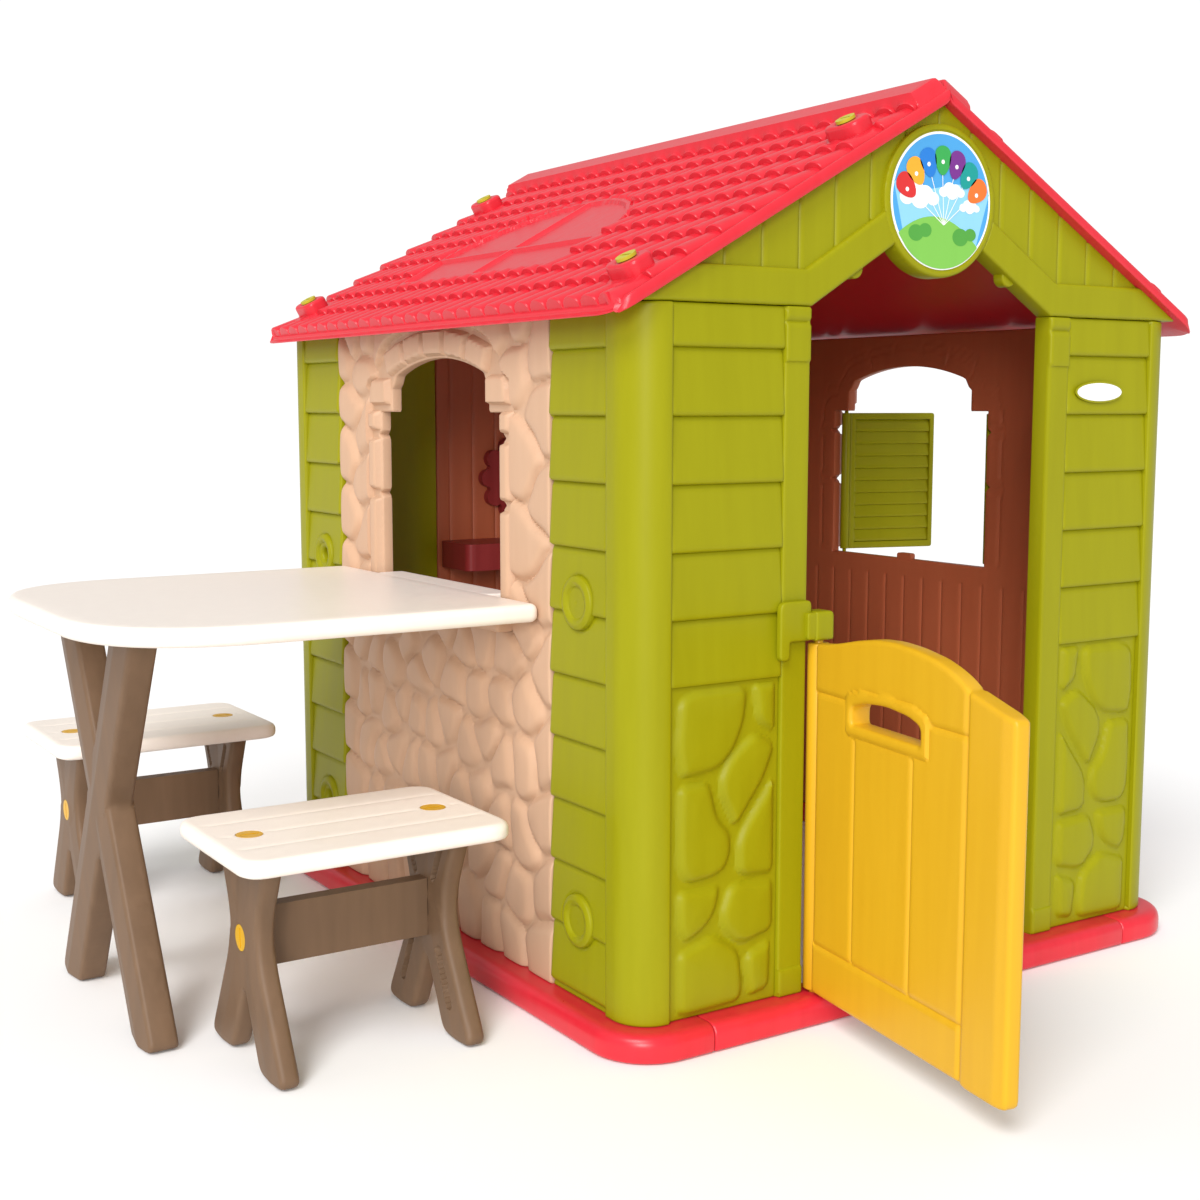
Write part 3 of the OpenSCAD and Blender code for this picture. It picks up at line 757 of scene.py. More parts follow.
WALL_GAP = 0.8
WALL_FACE = 468.0
WALL_T = 26.0
ARCH_R = 413.0
ARCH_TOP = 854.0


def window_outline():
    """The window's outline, up its right side to the arch and down its left."""
    half = [(WINDOW_HALF, SILL_Z)]
    for notch_z in (655.0, 744.0):
        half += [(WINDOW_HALF, notch_z - 6), (WINDOW_HALF + 8, notch_z), (WINDOW_HALF, notch_z + 6)]
    half += [(WINDOW_HALF, 778), (150, 778), (150, 812), (143, 818), (136, 830)]
    rise = [math.degrees(math.acos(x / ARCH_R)) for x in (131, 0)]
    half += arc(0, ARCH_TOP - ARCH_R, ARCH_R, rise[0], rise[1], 12)
    return half + mirrored(half[:-1])


def window_blocks():
    """The moulded blocks round the window: jambs, corbels and the arch's stones."""
    right = [
        rect(191, 527, 219, 648),
        rect(191, 660, 219, 738),
        rect(191, 750, 219, 780),
        [(154, 788), (214, 788), (212, 812), (204, 828), (154, 828)],
    ]
    blocks = right + [mirrored(b) for b in right]
    for i in range(-2, 3):
        start, end = 90 + i * 8.5 - 3.95, 90 + i * 8.5 + 3.95
        middle = ARCH_TOP - ARCH_R
        blocks.append(arc(0, middle, ARCH_R + 3, start, end, 3)
                      + arc(0, middle, ARCH_R + 42, end, start, 3))
    return [soften(b, 4, 3) for b in blocks]


# Middles of the wall's moulded stones, (along the wall, height)
WALL_SEEDS = [
    (-300, 865), (-236, 850), (-300, 765), (-252, 722), (-308, 655), (-255, 612), (-298, 545),
    (-245, 500), (-306, 440), (-255, 400), (-205, 455), (-190, 385), (-130, 470), (-75, 445),
    (-120, 395), (-25, 470), (-50, 395), (15, 425), (60, 475), (100, 435), (60, 385),
    (152, 478), (150, 400), (208, 465), (205, 400), (252, 505), (262, 430), (305, 520),
    (305, 440), (-300, 335), (-242, 310), (-185, 300), (-135, 335), (-85, 315), (-25, 340),
    (25, 330), (78, 325), (125, 345), (168, 320), (222, 345), (268, 340), (308, 360),
    (-302, 240), (-240, 215), (-178, 215), (-125, 255), (-75, 235), (-20, 265), (35, 255),
    (90, 245), (142, 270), (192, 240), (242, 265), (297, 270), (-298, 155), (-232, 130),
    (-168, 135), (-112, 165), (-55, 150), (0, 185), (55, 170), (110, 165), (168, 180),
    (228, 175), (292, 190), (-280, 75), (-215, 65), (-150, 75), (-90, 85), (-30, 90),
    (30, 95), (90, 85), (150, 95), (215, 90), (285, 105), (242, 590), (302, 615),
    (248, 672), (306, 700), (246, 755), (292, 790), (308, 860), (242, 845), (285, 885),
    (226, 890), (190, 885), (-190, 885), (-222, 895),
]


def bent(points):
    """Shifts points a little, so that the joints between stones wander."""
    u, v = points[:, 0], points[:, 1]
    across = 7 * np.sin(v / 23.0) + 4 * np.sin(u / 17.0 + v / 31.0)
    up = 7 * np.sin(u / 21.0 + 1.3) + 4 * np.sin(v / 15.0 - u / 37.0)
    return points + np.stack([across, up], 1)


def stone_relief(points, seeds):
    """Heights of stones that fill a wall: soft pillows parted by narrow valleys."""
    seeds = np.array(seeds, float)
    result = np.empty(len(points))
    for start in range(0, len(points), CHUNK):
        p = bent(points[start:start + CHUNK])
        each = np.arange(len(p))
        square = ((p[:, None, :] - seeds[None]) ** 2).sum(2)
        closest = square.argmin(1)
        apart = np.linalg.norm(seeds[None] - seeds[closest][:, None], axis=2)
        apart[each, closest] = 1.0
        border = (square - square[each, closest][:, None]) / (2 * apart)
        border[each, closest] = 1e3
        softened = -6.0 * np.log(np.exp(-border / 6.0).sum(1))
        result[start:start + CHUNK] = np.maximum(softened, 0)
    return dome(result, 8.5, 13.0) + dome(result, 3.0, 32.0)


def wall_stones(points, depth):
    """The outer face of a window wall: stones, with moulded blocks round the window."""
    u, v = points[:, 0], points[:, 1]
    height = -10.0 + stone_relief(points, WALL_SEEDS)
    surround = loop_distance(points, window_outline())
    reach = np.where(v > 782, 50.0, 35.0)
    beside_window = (v > SILL_Z - 16) & (np.abs(u) < 222)
    margin = ramp(reach + surround, -5.0, 0.0)
    height = np.where(beside_window, height * (1 - margin) - 9.0 * margin, height)
    for block in window_blocks():
        height = np.maximum(height, -9.0 + raised(points, block, 10.2, 6.0))
    return height - roll(depth, 3.0)


def side_wall_mesh():
    """The left wall: its outer face looks along -x."""
    outer = rect(-SIDE_HALF + WALL_GAP, BASE_H + 0.3, SIDE_HALF - WALL_GAP, WALL_TOP - 0.4)
    outside = relieved(facing_x(-WALL_FACE, -1), wall_stones)
    inside = relieved(facing_x(-WALL_FACE + WALL_T, 1), inner_wall_relief)
    edges = [beside(block, True) for block in window_blocks()]
    return shell_mesh(outer, [window_outline()], 3.6, outside, inside, (0.5, 1.5, 3.2),
                      back_net=(4.5, (0.5, 1.8), plank_lines(), ()), features=edges)


PLANK_PITCH = 46.0


def plank_lines():
    return [k * PLANK_PITCH + d for k in range(-8, 9) for d in (-1.6, 0, 1.6)]


def inner_wall_relief(points, depth):
    """The inside of a window wall: a plain arch moulding and planks below the sill."""
    u, v = points[:, 0], points[:, 1]
    surround = loop_distance(points, window_outline())
    height = -roll(depth, 2.5)
    height = height + np.where(v > SILL_Z, valley(surround + 30.0, 3.0, 1.6), 0)
    for block in window_blocks():
        flat = np.asarray(block)
        near = ((points > flat.min(0) - 4) & (points < flat.max(0) + 4)).all(1)
        if near.any():
            height[near] += valley(loop_distance(points[near], block), 2.6, 1.4)
    planks = (v < SILL_Z - 30) & (v > BASE_H + 20) & (np.abs(u) < 300)
    return height + np.where(planks, valley(off_line(u, PLANK_PITCH), 2.6, 1.8), 0)


def ledge_mesh():
    """The shelf moulded on the left wall, under the table."""
    outline = soften(rect(-225, 489, 225, 510.7), 6, 4)
    return slab_mesh(outline, facing_x(-WALL_FACE + 1, -1), 23, 0, 5, 0)


def sill_stop_mesh():
    """The stop block in the middle of the right window's sill."""
    outline = soften(rect(-17, SILL_Z - 1, 17, SILL_Z + 10), [0, 0, 5, 5], 4)
    return slab_mesh(outline, facing_x(HALF_W - POST_T, 1), 12, 0.2, 2, 0)


def build_side_walls():
    wall = side_wall_mesh()
    left = join_meshes([wall, ledge_mesh()])
    right = join_meshes([(wall[0] * (-1, 1, 1), wall[1]), sill_stop_mesh()])
    make_piece("wall_left_shell", left, beige, ("wall_left",))
    make_piece("wall_right_shell", right, brown, ("wall_right",))


def back_wall_relief(points, depth):
    grooves = valley(off_line(points[:, 0], PLANK_PITCH), 2.6, 2.0)
    return grooves * (depth > 8) - roll(depth, 3.0)


def build_back_wall():
    """The panel that fills the back doorway, up to the round boss of the gable."""
    inset = 1.2
    rise = math.tan(SLOPE)
    knee = WALL_TOP + rise * DOORWAY_HALF
    jamb, foot, head = DOORWAY_HALF - inset, BASE_H + 0.3, WALL_TOP - inset
    low = arc(0, BOSS_Z, 98.2, 230, 310, 14)
    right, left = [(u, knee - rise * abs(u) - 2 * inset) for u in (low[-1][0], low[0][0])]
    outer = [(-jamb, foot), (jamb, foot), (jamb, head), right, *reversed(low), left, (-jamb, head)]
    lays = facing_y(HALF_D - 4, 1), facing_y(HALF_D - POST_T, -1)
    faces = [(lay, back_wall_relief) for lay in lays]
    panel = leaf_mesh(outer, [], 5.0, faces, (0.6, 1.8, 3.5), plank_lines())
    make_piece("wall_back_shell", panel, brown, ("wall_back",))


# --- gables

CLAMP_X = (112.0, 444.0)
CLAMP_Y = 476.0
BOSS_RING = 97.0
PLANK_W = 57.0
BAND_TOP = 953.0
BAND_KNEE = 220.0
GABLE_RISE = 0.61


def gable_outline():
    rise = math.tan(SLOPE)
    peak = RIDGE_Z - 18.6
    notch = arc(0, BOSS_Z, BOSS_RING, 217.1, 322.9, 24)
    left = [(-HALF_W, WALL_TOP + 0.3), (-DOORWAY_HALF, WALL_TOP + 0.3)]
    right = mirrored(left)
    top = [(HALF_W, peak - rise * HALF_W), (0, peak), (-HALF_W, peak - rise * HALF_W)]
    return left + notch + right + top


def gable_relief(points, depth):
    """The gable's planks, the trim band that follows the roof and the round boss."""
    x, z = np.abs(points[:, 0]), points[:, 1]
    band_top = BAND_TOP + GABLE_RISE * np.maximum(BAND_KNEE - x, 0)
    to_band = (band_top - z) * np.where(x < BAND_KNEE, 0.864, 1.0)
    boss = BOSS_RING - np.hypot(points[:, 0], z - BOSS_Z)
    planks = -6.0 + valley(off_line(x, PLANK_W), 3.0, 2.6)
    height = np.where(to_band > 0, -roll(np.maximum(to_band, 0), 3.5), planks)
    disc = 1.0 - roll(np.maximum(boss, 0), 3.5) - 1.8 * ramp(boss, 7.0, 8.5)
    height = np.where(boss > 0, disc, height)
    return height - np.where(to_band > 0, roll(depth, 4.0), roll(depth, 1.5))


def gable_features():
    """The upper edge of the trim band and the rings of the boss."""
    peak = BAND_TOP + GABLE_RISE * BAND_KNEE
    rise = [(-BAND_KNEE, BAND_TOP), (0, peak), (BAND_KNEE, BAND_TOP)]
    rings = [circle(0, BOSS_Z, r, 200) for r in (BOSS_RING, BOSS_RING - 7.7)]
    return [beside(rise)] + [beside(ring, True) for ring in rings]


def gable_mesh():
    lines = [side * k * PLANK_W + d for side in (-1, 1) for k in range(9) for d in (-1.6, 0, 1.6)]

    def inner(points, depth):
        return -roll(depth, 2.0)

    return shell_mesh(gable_outline(), [], 3.2, relieved(facing_y(-HALF_D, -1), gable_relief),
                      relieved(facing_y(-HALF_D + 28, 1), inner), (0.5, 1.6, 3.5), sorted(set(lines)),
                      [BAND_TOP + d for d in (-1.5, -0.4, 0.4, 1.5)],
                      back_net=(30.0, (0.6, 2.0), (), ()), features=gable_features())


def lug_mesh(x):
    """A small round lug behind the gable's lower edge."""
    return slab_mesh(circle(x, 958, 13, 28), facing_y(-HALF_D + 8, 1), 18, 0, 2, 3, cell=4.0)


def clamp_lug_mesh(x):
    """The block inside the gable that a roof clamp's screw holds in."""
    lay = on_pitch((-x, -CLAMP_Y, RIDGE_Z - x * math.tan(SLOPE)))
    low = -38.0 if x < 300 else -28.0
    return slab_mesh(soften(rect(-14, -24, 14, 14), 3, 3), lay, -16.6, low, 1, 2)


def build_gables():
    lugs = [clamp_lug_mesh(x) for x in CLAMP_X]
    lugs += [(verts * (-1, 1, 1), [face[::-1] for face in faces]) for verts, faces in lugs]
    verts, faces = join_meshes([gable_mesh(), lug_mesh(-136), lug_mesh(136), *lugs])
    for end, node in ((1, "gable_front"), (-1, "gable_back")):
        mesh = (verts * (1, end, 1), faces)
        make_piece(node + "_shell", mesh, green, (node,))


# --- picture and label

SIGN_R = 87.0
BALLOON_COLORS = [(0.62, 0.03, 0.03), (0.90, 0.38, 0.03), (0.02, 0.19, 0.60), (0.04, 0.36, 0.08),
                  (0.17, 0.03, 0.24), (0.01, 0.30, 0.27), (0.85, 0.17, 0.03)]
# Bushes on the hill: (across, up, radius)
BUSHES = ((-44, 4, 13), (-28, 8, 11), (34, 2, 14), (52, 6, 10))


def flat_color(name, color):
    return moulded_plastic(name, color, tuple(0.94 * c for c in color), rough=0.34, spread=0.9,
                           grain_depth=0.01)


def prism(outline, low, high):
    """A thin layer of the picture, in front of the gable's boss."""
    count = len(outline)
    verts = [(u, -HALF_D + 0.8 - out, v) for out in (low, high) for u, v in outline]
    faces = [tuple(range(count)), tuple(range(2 * count - 1, count - 1, -1))]
    faces += [(i, (i + 1) % count, (i + 1) % count + count, i + count) for i in range(count)]
    return verts, faces


def balloon(angle, radius, size):
    """A balloon's outline, and its knot, which is its end towards the picture's middle."""
    u = radius * math.cos(math.radians(angle))
    v = BOSS_Z - 20 + radius * math.sin(math.radians(angle))
    down = math.atan2(BOSS_Z - 34 - v, -u)
    c, s = math.cos(down), math.sin(down)
    outline = []
    for i in range(28):
        a = 2 * math.pi * i / 28
        along = math.cos(a) * (1.18 if math.cos(a) > 0 else 0.95)
        across = math.sin(a) * (0.8 - 0.16 * math.cos(a))
        outline.append((u + size * (along * c - across * s), v + size * (along * s + across * c)))
    return outline, (u + size * 1.15 * c, v + size * 1.15 * s)


def clipped(outline):
    """Brings an outline's points inside the picture's circle."""
    kept = []
    for u, v in outline:
        f = min(1.0, (SIGN_R - 1.5) / math.hypot(u, v - BOSS_Z))
        kept.append((u * f, BOSS_Z + (v - BOSS_Z) * f))
    return kept


def string_outline(start, end, width=0.5):
    du, dv = end[0] - start[0], end[1] - start[1]
    length = math.hypot(du, dv)
    nu, nv = -dv / length * width, du / length * width
    return [(start[0] - nu, start[1] - nv), (end[0] - nu, end[1] - nv),
            (end[0] + nu, end[1] + nv), (start[0] + nu, start[1] + nv)]


def cloud(u, v, size):
    puffs = [(-1.5, 0, 0.8), (-0.5, 0.45, 1.0), (0.6, 0.35, 0.9), (1.5, 0, 0.7), (0, -0.1, 1.0)]
    return [circle(u + a * size, v + b * size, c * size, 24, 0.8) for a, b, c in puffs]


def picture_layers():
    """The picture from its film up, as (material, outlines, lower and upper height)."""
    across = range(88, -89, -8)
    floor = [(u, BOSS_Z - 86) for u in reversed(across)]
    haze = [(u, BOSS_Z + 18 + 5 * math.sin(u / 22)) for u in across] + floor
    hill = [(u, BOSS_Z - 20 - 0.006 * (u + 12) ** 2) for u in across] + floor
    clouds = cloud(-38, BOSS_Z + 2, 15) + cloud(18, BOSS_Z + 12, 10) + cloud(50, BOSS_Z - 6, 8)
    bushes = [circle(u, BOSS_Z - 46 + v, r, 24, 0.8) for u, v, r in BUSHES]
    sky = [circle(0, BOSS_Z, SIGN_R - 3, 96)]
    return [
        (film, [circle(0, BOSS_Z, SIGN_R, 96)], 0.0, 1.0),
        (flat_color("picture_sky", (0.07, 0.34, 0.68)), sky, 1.0, 1.15),
        (flat_color("picture_haze", (0.26, 0.58, 0.82)), [clipped(haze)], 1.15, 1.3),
        (film, [clipped(p) for p in clouds], 1.3, 1.5),
        (flat_color("picture_hill", (0.20, 0.50, 0.08)), [clipped(hill)], 1.5, 1.65),
        (flat_color("picture_bush", (0.08, 0.33, 0.05)), [clipped(b) for b in bushes], 1.65, 1.8),
    ]


def build_sign():
    layers = picture_layers()
    strings = []
    for i, color in enumerate(BALLOON_COLORS):
        outline, knot = balloon(150 - i * 20.0, 73, 17.5)
        shine = circle(knot[0] * 1.28, BOSS_Z - 18 + (knot[1] - BOSS_Z + 18) * 1.32, 2.8, 16)
        layers.append((flat_color(f"picture_balloon_{i}", color), [clipped(outline)], 1.9, 2.1))
        layers.append((film, [clipped(shine)], 2.1, 2.2))
        strings.append(string_outline(knot, (4, BOSS_Z - 30)))
    layers.append((film, strings, 1.8, 1.9))
    for i, (material, outlines, low, high) in enumerate(layers):
        mesh = join_meshes([prism(o, low + 0.01 * k, high + 0.01 * k)
                            for k, o in enumerate(outlines)])
        replaces = () if i else ("gable_sign",)
        make_piece(f"sign_layer_{i:02d}", mesh, material, replaces)


def build_label():
    lay = facing_y(-HALF_D - 0.2, -1)
    border = slab_mesh(circle(312, 806, 49, 64, 0.31), lay, 0.9, 0, 0.4, 0, cell=5)
    face = slab_mesh(circle(312, 806, 45.5, 64, 0.275), lay, 1.3, 0.8, 0.2, 0, cell=5)
    make_piece("oval_label_border", border, green)
    make_piece("oval_label_face", face, film, ("oval_label",))


# --- roof

ROOF_LENGTH = ROOF_RUN / math.cos(SLOPE)
CAP_W = 60.0
RIM_W = 13.0
EAVE_W = 8.0
TILE_ROWS = 9
TILE_PITCH = (ROOF_LENGTH - CAP_W - EAVE_W) / TILE_ROWS
BARREL = 39.0
BARREL_HALF = 0.46
SADDLE_R = 38.0
PANEL_T = 18.0
RIM_T = 22.0
SKY_MID = 50.0
SKY_HALF = 236.0
SKY_LOW = 441.0
SKY_BAR = 352.0
SKY_TOP = 190.0


def tile_relief(w, y):
    """Rows of barrel tiles. Each row lifts towards its lower end and stops short over the next."""
    into = np.mod(w - CAP_W, TILE_PITCH)
    side = off_line(y, BARREL)
    barrel = np.sqrt(np.maximum(1 - (side / (BARREL_HALF * BARREL)) ** 2, 0))
    lift = 8.0 * into / TILE_PITCH
    return -15.0 + lift + 13.0 * barrel - 0.8 * roll(TILE_PITCH - into, 3.0)


def skylight_outline():
    rise = SKY_BAR - SKY_TOP
    turns = [math.pi * i / 30 for i in range(31)]
    arch = [(SKY_BAR - rise * math.sin(a), SKY_MID + SKY_HALF * math.cos(a)) for a in turns]
    return [(SKY_LOW, SKY_MID + SKY_HALF), *arch, (SKY_LOW, SKY_MID - SKY_HALF)]


def skylight_relief(points, height):
    """A flush arched skylight with raised bars, over the tiles."""
    edge = loop_distance(points, skylight_outline())
    pane = np.full(len(points), -6.5)
    for bar in (edge - 5, points[:, 0] - SKY_BAR, points[:, 1] - SKY_MID):
        pane = np.maximum(pane, -6.5 + 5.0 * ramp(6.5 - np.abs(bar), 0, 3.0))
    blend = ramp(edge, -3.5, 0.5)
    return height * (1 - blend) + pane * blend


def saddle_relief(points, height):
    """The low mounds that carry the clamps."""
    for w, y in clamp_spots():
        away = np.hypot(points[:, 0] - w, points[:, 1] - y) - SADDLE_R
        mound = -4.0 + 4.0 * ramp(-away, 0, 6)
        height = np.where(away < 0, np.maximum(mound, np.minimum(height, 2.0)), height)
    return height


def clamp_spots():
    """Where the clamps stand on a panel: distance down the slope, and y."""
    return [(x / math.cos(SLOPE), y) for x in CLAMP_X for y in (-CLAMP_Y, CLAMP_Y)]


def roof_relief(points, depth):
    """The roof panel's face: tiles and skylight inside a rim, clamps' mounds, ridge cap."""
    w, y = points[:, 0], points[:, 1]
    height = skylight_relief(points, tile_relief(w, y))
    to_gable, to_eave = ROOF_HALF - np.abs(y), ROOF_LENGTH - w
    rim = np.minimum(to_gable, 2 * to_eave)
    rim_face = -5.0 - roll(np.maximum(np.minimum(rim, RIM_W - rim), 0), 4.0)
    rim_face = rim_face - 4.0 * ramp(3 * EAVE_W - to_eave, 0, 2 * EAVE_W)
    height = np.where(to_gable < RIM_W, rim_face, height)
    height = saddle_relief(points, np.where(to_eave < EAVE_W, -9.0, height))
    cap_height = -12.0 + (12.0 + CAP_RISE) * ramp(np.minimum(CAP_W - w, to_gable * 0.5), 0, 11)
    height = np.where((w < CAP_W) & (cap_height > height), cap_height, height)
    return height - roll(depth, 4.0)


def on_slope(points, height):
    """Lays (distance down the slope, y) points on the left roof panel."""
    w, y = points[:, 0], points[:, 1]
    x = -w * math.cos(SLOPE) - height * math.sin(SLOPE)
    z = RIDGE_Z - w * math.sin(SLOPE) + height * math.cos(SLOPE)
    return np.stack([np.minimum(x, -0.3), y, z], 1)


def under_slope(points, depth):
    """The panel's underside, with deeper rims outside the gables."""
    w, y = points[:, 0], points[:, 1]
    x = -np.maximum(w * math.cos(SLOPE), 0.3)
    top = RIDGE_Z + x * math.tan(SLOPE)
    z = top - np.where(np.abs(y) > HALF_D + 1.4, RIM_T, PANEL_T)
    return np.stack([x, y, z + roll(depth, 2.5)], 1)


def roof_mesh():
    outer = soften([(0.4, -ROOF_HALF), (ROOF_LENGTH, -ROOF_HALF), (ROOF_LENGTH, ROOF_HALF),
                    (0.4, ROOF_HALF)], [0, 42, 42, 0], 8)
    rows = [CAP_W + TILE_PITCH * i for i in range(TILE_ROWS + 1)]
    lines_u = [r + d for r in rows for d in (-4.4, -3, -1.6, -0.3, 0.3)] + [CAP_W - 11]
    lines_v = [s * (ROOF_HALF - RIM_W + d) for s in (-1, 1) for d in (-0.4, 0.4)]
    across = (-0.5, -0.46, -0.43, -0.36, -0.26, -0.13, 0, 0.13, 0.26, 0.36, 0.43, 0.46)
    lines_v += [(k + d) * BARREL for k in range(-13, 14) for d in across]
    back_v = [s * (HALF_D + d) for s in (-1, 1) for d in (1.0, 1.9)]

    def front(points, depth):
        return on_slope(points, roof_relief(points, depth))

    return shell_mesh(outer, [], 4.0, front, under_slope, (0.5, 1.8, 4.0), lines_u, lines_v,
                      back_net=(30.0, (0.6, 2.4), (), back_v))


def build_roof():
    verts, faces = roof_mesh()
    for node, turn in (("roof_left", (1, 1, 1)), ("roof_right", (-1, -1, 1))):
        make_piece(node + "_shell", (verts * turn, faces), red, (node,))


def clamp_outline():
    """A block's round-cornered outline, longer along the ridge than down the slope."""
    return soften([(-21, -20), (-12, -31), (12, -31), (21, -20), (21, 20), (12, 31),
                   (-12, 31), (-21, 20)], 8, 4)


def build_clamps():
    """Blocks that stand square to the slope, each with a floor in its round recess."""
    parts = []
    for w, y in clamp_spots():
        lay = on_pitch(on_slope(np.array([[w, y]]), np.array([0.0]))[0])
        parts.append(slab_mesh(clamp_outline(), lay, 18, -4, 5, 0, 4.0, [circle(0, 0, 13.4, 32)]))
        parts.append(slab_mesh(circle(0, 0, 14.5, 32), lay, 16.5, 0, 0, 0))
    verts, faces = join_meshes(parts)
    both = join_meshes([(verts, faces), (verts * (-1, -1, 1), faces)])
    make_piece("roof_clamp_blocks", both, red, ("roof_clamps",))


# --- door

DOOR_REACH = 403.0
DOOR_R = 14.0
DOOR_LOW = 40.0
DOOR_STILE = 323.0
BOARD_LINES = (15.0, 102.0, 222.0)
SLOT = (98.0, 404.0, 240.0, 436.0)
DOOR_BARREL_TOP = 491.0
GROOVE_LOW = 105.0
GROOVE_HIGH = 431.0


def door_outline():
    top = [(DOOR_REACH, 462), (DOOR_STILE, 482), (306, 492), (285, 500), (259, 507), (215, 513),
           (176, 515), (140, 513), (102, 507), (66, 499), (34, 493), (12, 491)]
    outer = [(12, DOOR_LOW), (DOOR_STILE, DOOR_LOW), (335, DOOR_LOW - 3),
             (DOOR_REACH, DOOR_LOW - 3), *top]
    return soften(outer, [0, 0, 4, 10, 6, 5] + [10] * 9 + [0], 3)


def slot_outline(grow):
    u0, v0, u1, v1 = SLOT
    outline = [(u0 - grow, v0 - grow), (u1 + grow, v0 - grow), (u1 + grow, v1 - 10 + grow),
               (u1 - 24 + grow, v1 - 2 + grow), ((u0 + u1) / 2, v1 + 2 + grow),
               (u0 + 24 - grow, v1 - 2 + grow), (u0 - grow, v1 - 10 + grow)]
    return soften(outline, [5, 5, 8, 10, 14, 10, 8], 4)


def door_relief(points, depth):
    """Boards, two cross grooves, a frame round the hand slot and the stile's shallow step."""
    t, z = points[:, 0], points[:, 1]
    height = -roll(np.maximum(np.minimum(depth, DOOR_REACH - t), 0), 5.0)
    for line in BOARD_LINES:
        covered = (z > GROOVE_LOW) & (z < (430 if line == BOARD_LINES[0] else 388))
        height = height + np.where(covered, valley(t - line, 3.4, 1.9), 0)
    height = height + valley(t - DOOR_STILE, 4.0, 2.8)
    low_groove = (t > BOARD_LINES[0]) & (t < DOOR_STILE)
    height = height + np.where(low_groove, valley(z - GROOVE_LOW, 4.6, 2.8), 0)
    high_groove = low_groove & ((t < 83) | (t > 255))
    height = height + np.where(high_groove, valley(z - GROOVE_HIGH, 4.6, 2.8), 0)
    frame_edge = loop_distance(points, slot_outline(13.0))
    height = height + np.where(frame_edge > 0, pillow(np.maximum(frame_edge, 0), 3.2, 4.0), 0)
    height = height + np.where(frame_edge <= 0, valley(frame_edge + 1.5, 2.5, 0.8), 0)
    stile = ramp(t, DOOR_STILE, DOOR_STILE + 6) * 1.2 - ramp(t, DOOR_REACH - 22, DOOR_REACH) * 3.0
    return height + stile


def barrel_mesh(r, low, high, round_end=2.5, count=28):
    """An upright round bar with eased ends, about the origin."""
    ends = ((0, r - round_end), (round_end * 0.4, r - round_end * 0.3), (round_end, r))
    rows = [(low + up, ring) for up, ring in ends]
    rows += [(high - down, ring) for down, ring in reversed(ends)]
    turns = [2 * math.pi * i / count for i in range(count)]
    verts = [(ring * math.cos(a), ring * math.sin(a), z) for z, ring in rows for a in turns]
    faces = [(i * count + j, i * count + (j + 1) % count, (i + 1) * count + (j + 1) % count,
              (i + 1) * count + j) for i in range(len(rows) - 1) for j in range(count)]
    faces.append(tuple(range(count))[::-1])
    faces.append(tuple(range((len(rows) - 1) * count, len(rows) * count)))
    return np.array(verts), faces


def turned_about(verts, pin, angle):
    """Turns points in plan about a pin, and moves them to it."""
    verts = np.asarray(verts, float)
    c, s = math.cos(angle), math.sin(angle)
    x = pin[0] + verts[:, 0] * c - verts[:, 1] * s
    y = pin[1] + verts[:, 0] * s + verts[:, 1] * c
    return np.stack([x, y, verts[:, 2]], 1)


def build_door():
    lines = [line + d for line in (*BOARD_LINES, DOOR_STILE) for d in (-1.7, 0, 1.7)]
    rows = [line + d for line in (GROOVE_LOW, GROOVE_HIGH) for d in (-2, 0, 2)]
    faces = [(facing_y(side * 12, side), door_relief) for side in (-1, 1)]
    leaf = leaf_mesh(door_outline(), [slot_outline(0)], 3.4, faces, (0.5, 1.8, 4.6), lines, rows)
    barrel = barrel_mesh(DOOR_R, DOOR_LOW, DOOR_BARREL_TOP)
    pin = barrel_mesh(5.9, BASE_H - 14, 508, 1.0)
    verts, faces = join_meshes([leaf, barrel, pin])
    placed = turned_about(verts, DOOR_PIN, -DOOR_OPEN)
    make_piece("door_leaf", (placed, faces), yellow, ("door",), "door")


def build_bracket():
    """A plate on the post, an arm round the door's pin and a bridge between them."""
    front = DOOR_PIN[1] - DOOR_R
    on_post = facing_y(-HALF_D, -1)
    at_pin = facing_y(front + DOOR_R * 2, -1)
    x1 = -DOORWAY_HALF
    low = 495.2
    plate = soften([(x1 - 50, 472), (x1 - 34, 472), (x1 - 34, low), (x1 - 0.5, low),
                    (x1 - 0.5, 546), (x1 - 50, 546)], [7, 7, 3, 3, 7, 12], 4)
    arm = soften(rect(x1 + 0.3, low, x1 + 30, 532), [2, 4, 7, 3], 4)
    bridge = soften(rect(x1 - 12, 497, x1 + 12, 531), 4, 3)
    block = join_meshes([slab_mesh(plate, on_post, 8, 0.3, 3, 0, cell=4),
                         slab_mesh(arm, at_pin, DOOR_R * 2, 0, 4, 4, cell=4),
                         slab_mesh(bridge, on_post, -HALF_D - front - 1.5, 1, 2, 0, cell=5)])
    make_piece("hinge_bracket_block", block, green, ("door_hinge_bracket",))


# --- shutters

SHUTTER_LOW = 527.0
SHUTTER_HIGH = 774.0
SHUTTER_REACH = 176.0
SHUTTER_TURN = math.radians(15.0)
LOUVRES = 10
# The louvres' space inside the frame, and the height of one slat
LOUVRE_FROM, LOUVRE_TO = 16.0, SHUTTER_REACH - 9
LOUVRE_LOW, LOUVRE_HIGH = SHUTTER_LOW + 12, SHUTTER_HIGH - 12
LOUVRE_PITCH = (LOUVRE_HIGH - LOUVRE_LOW) / LOUVRES


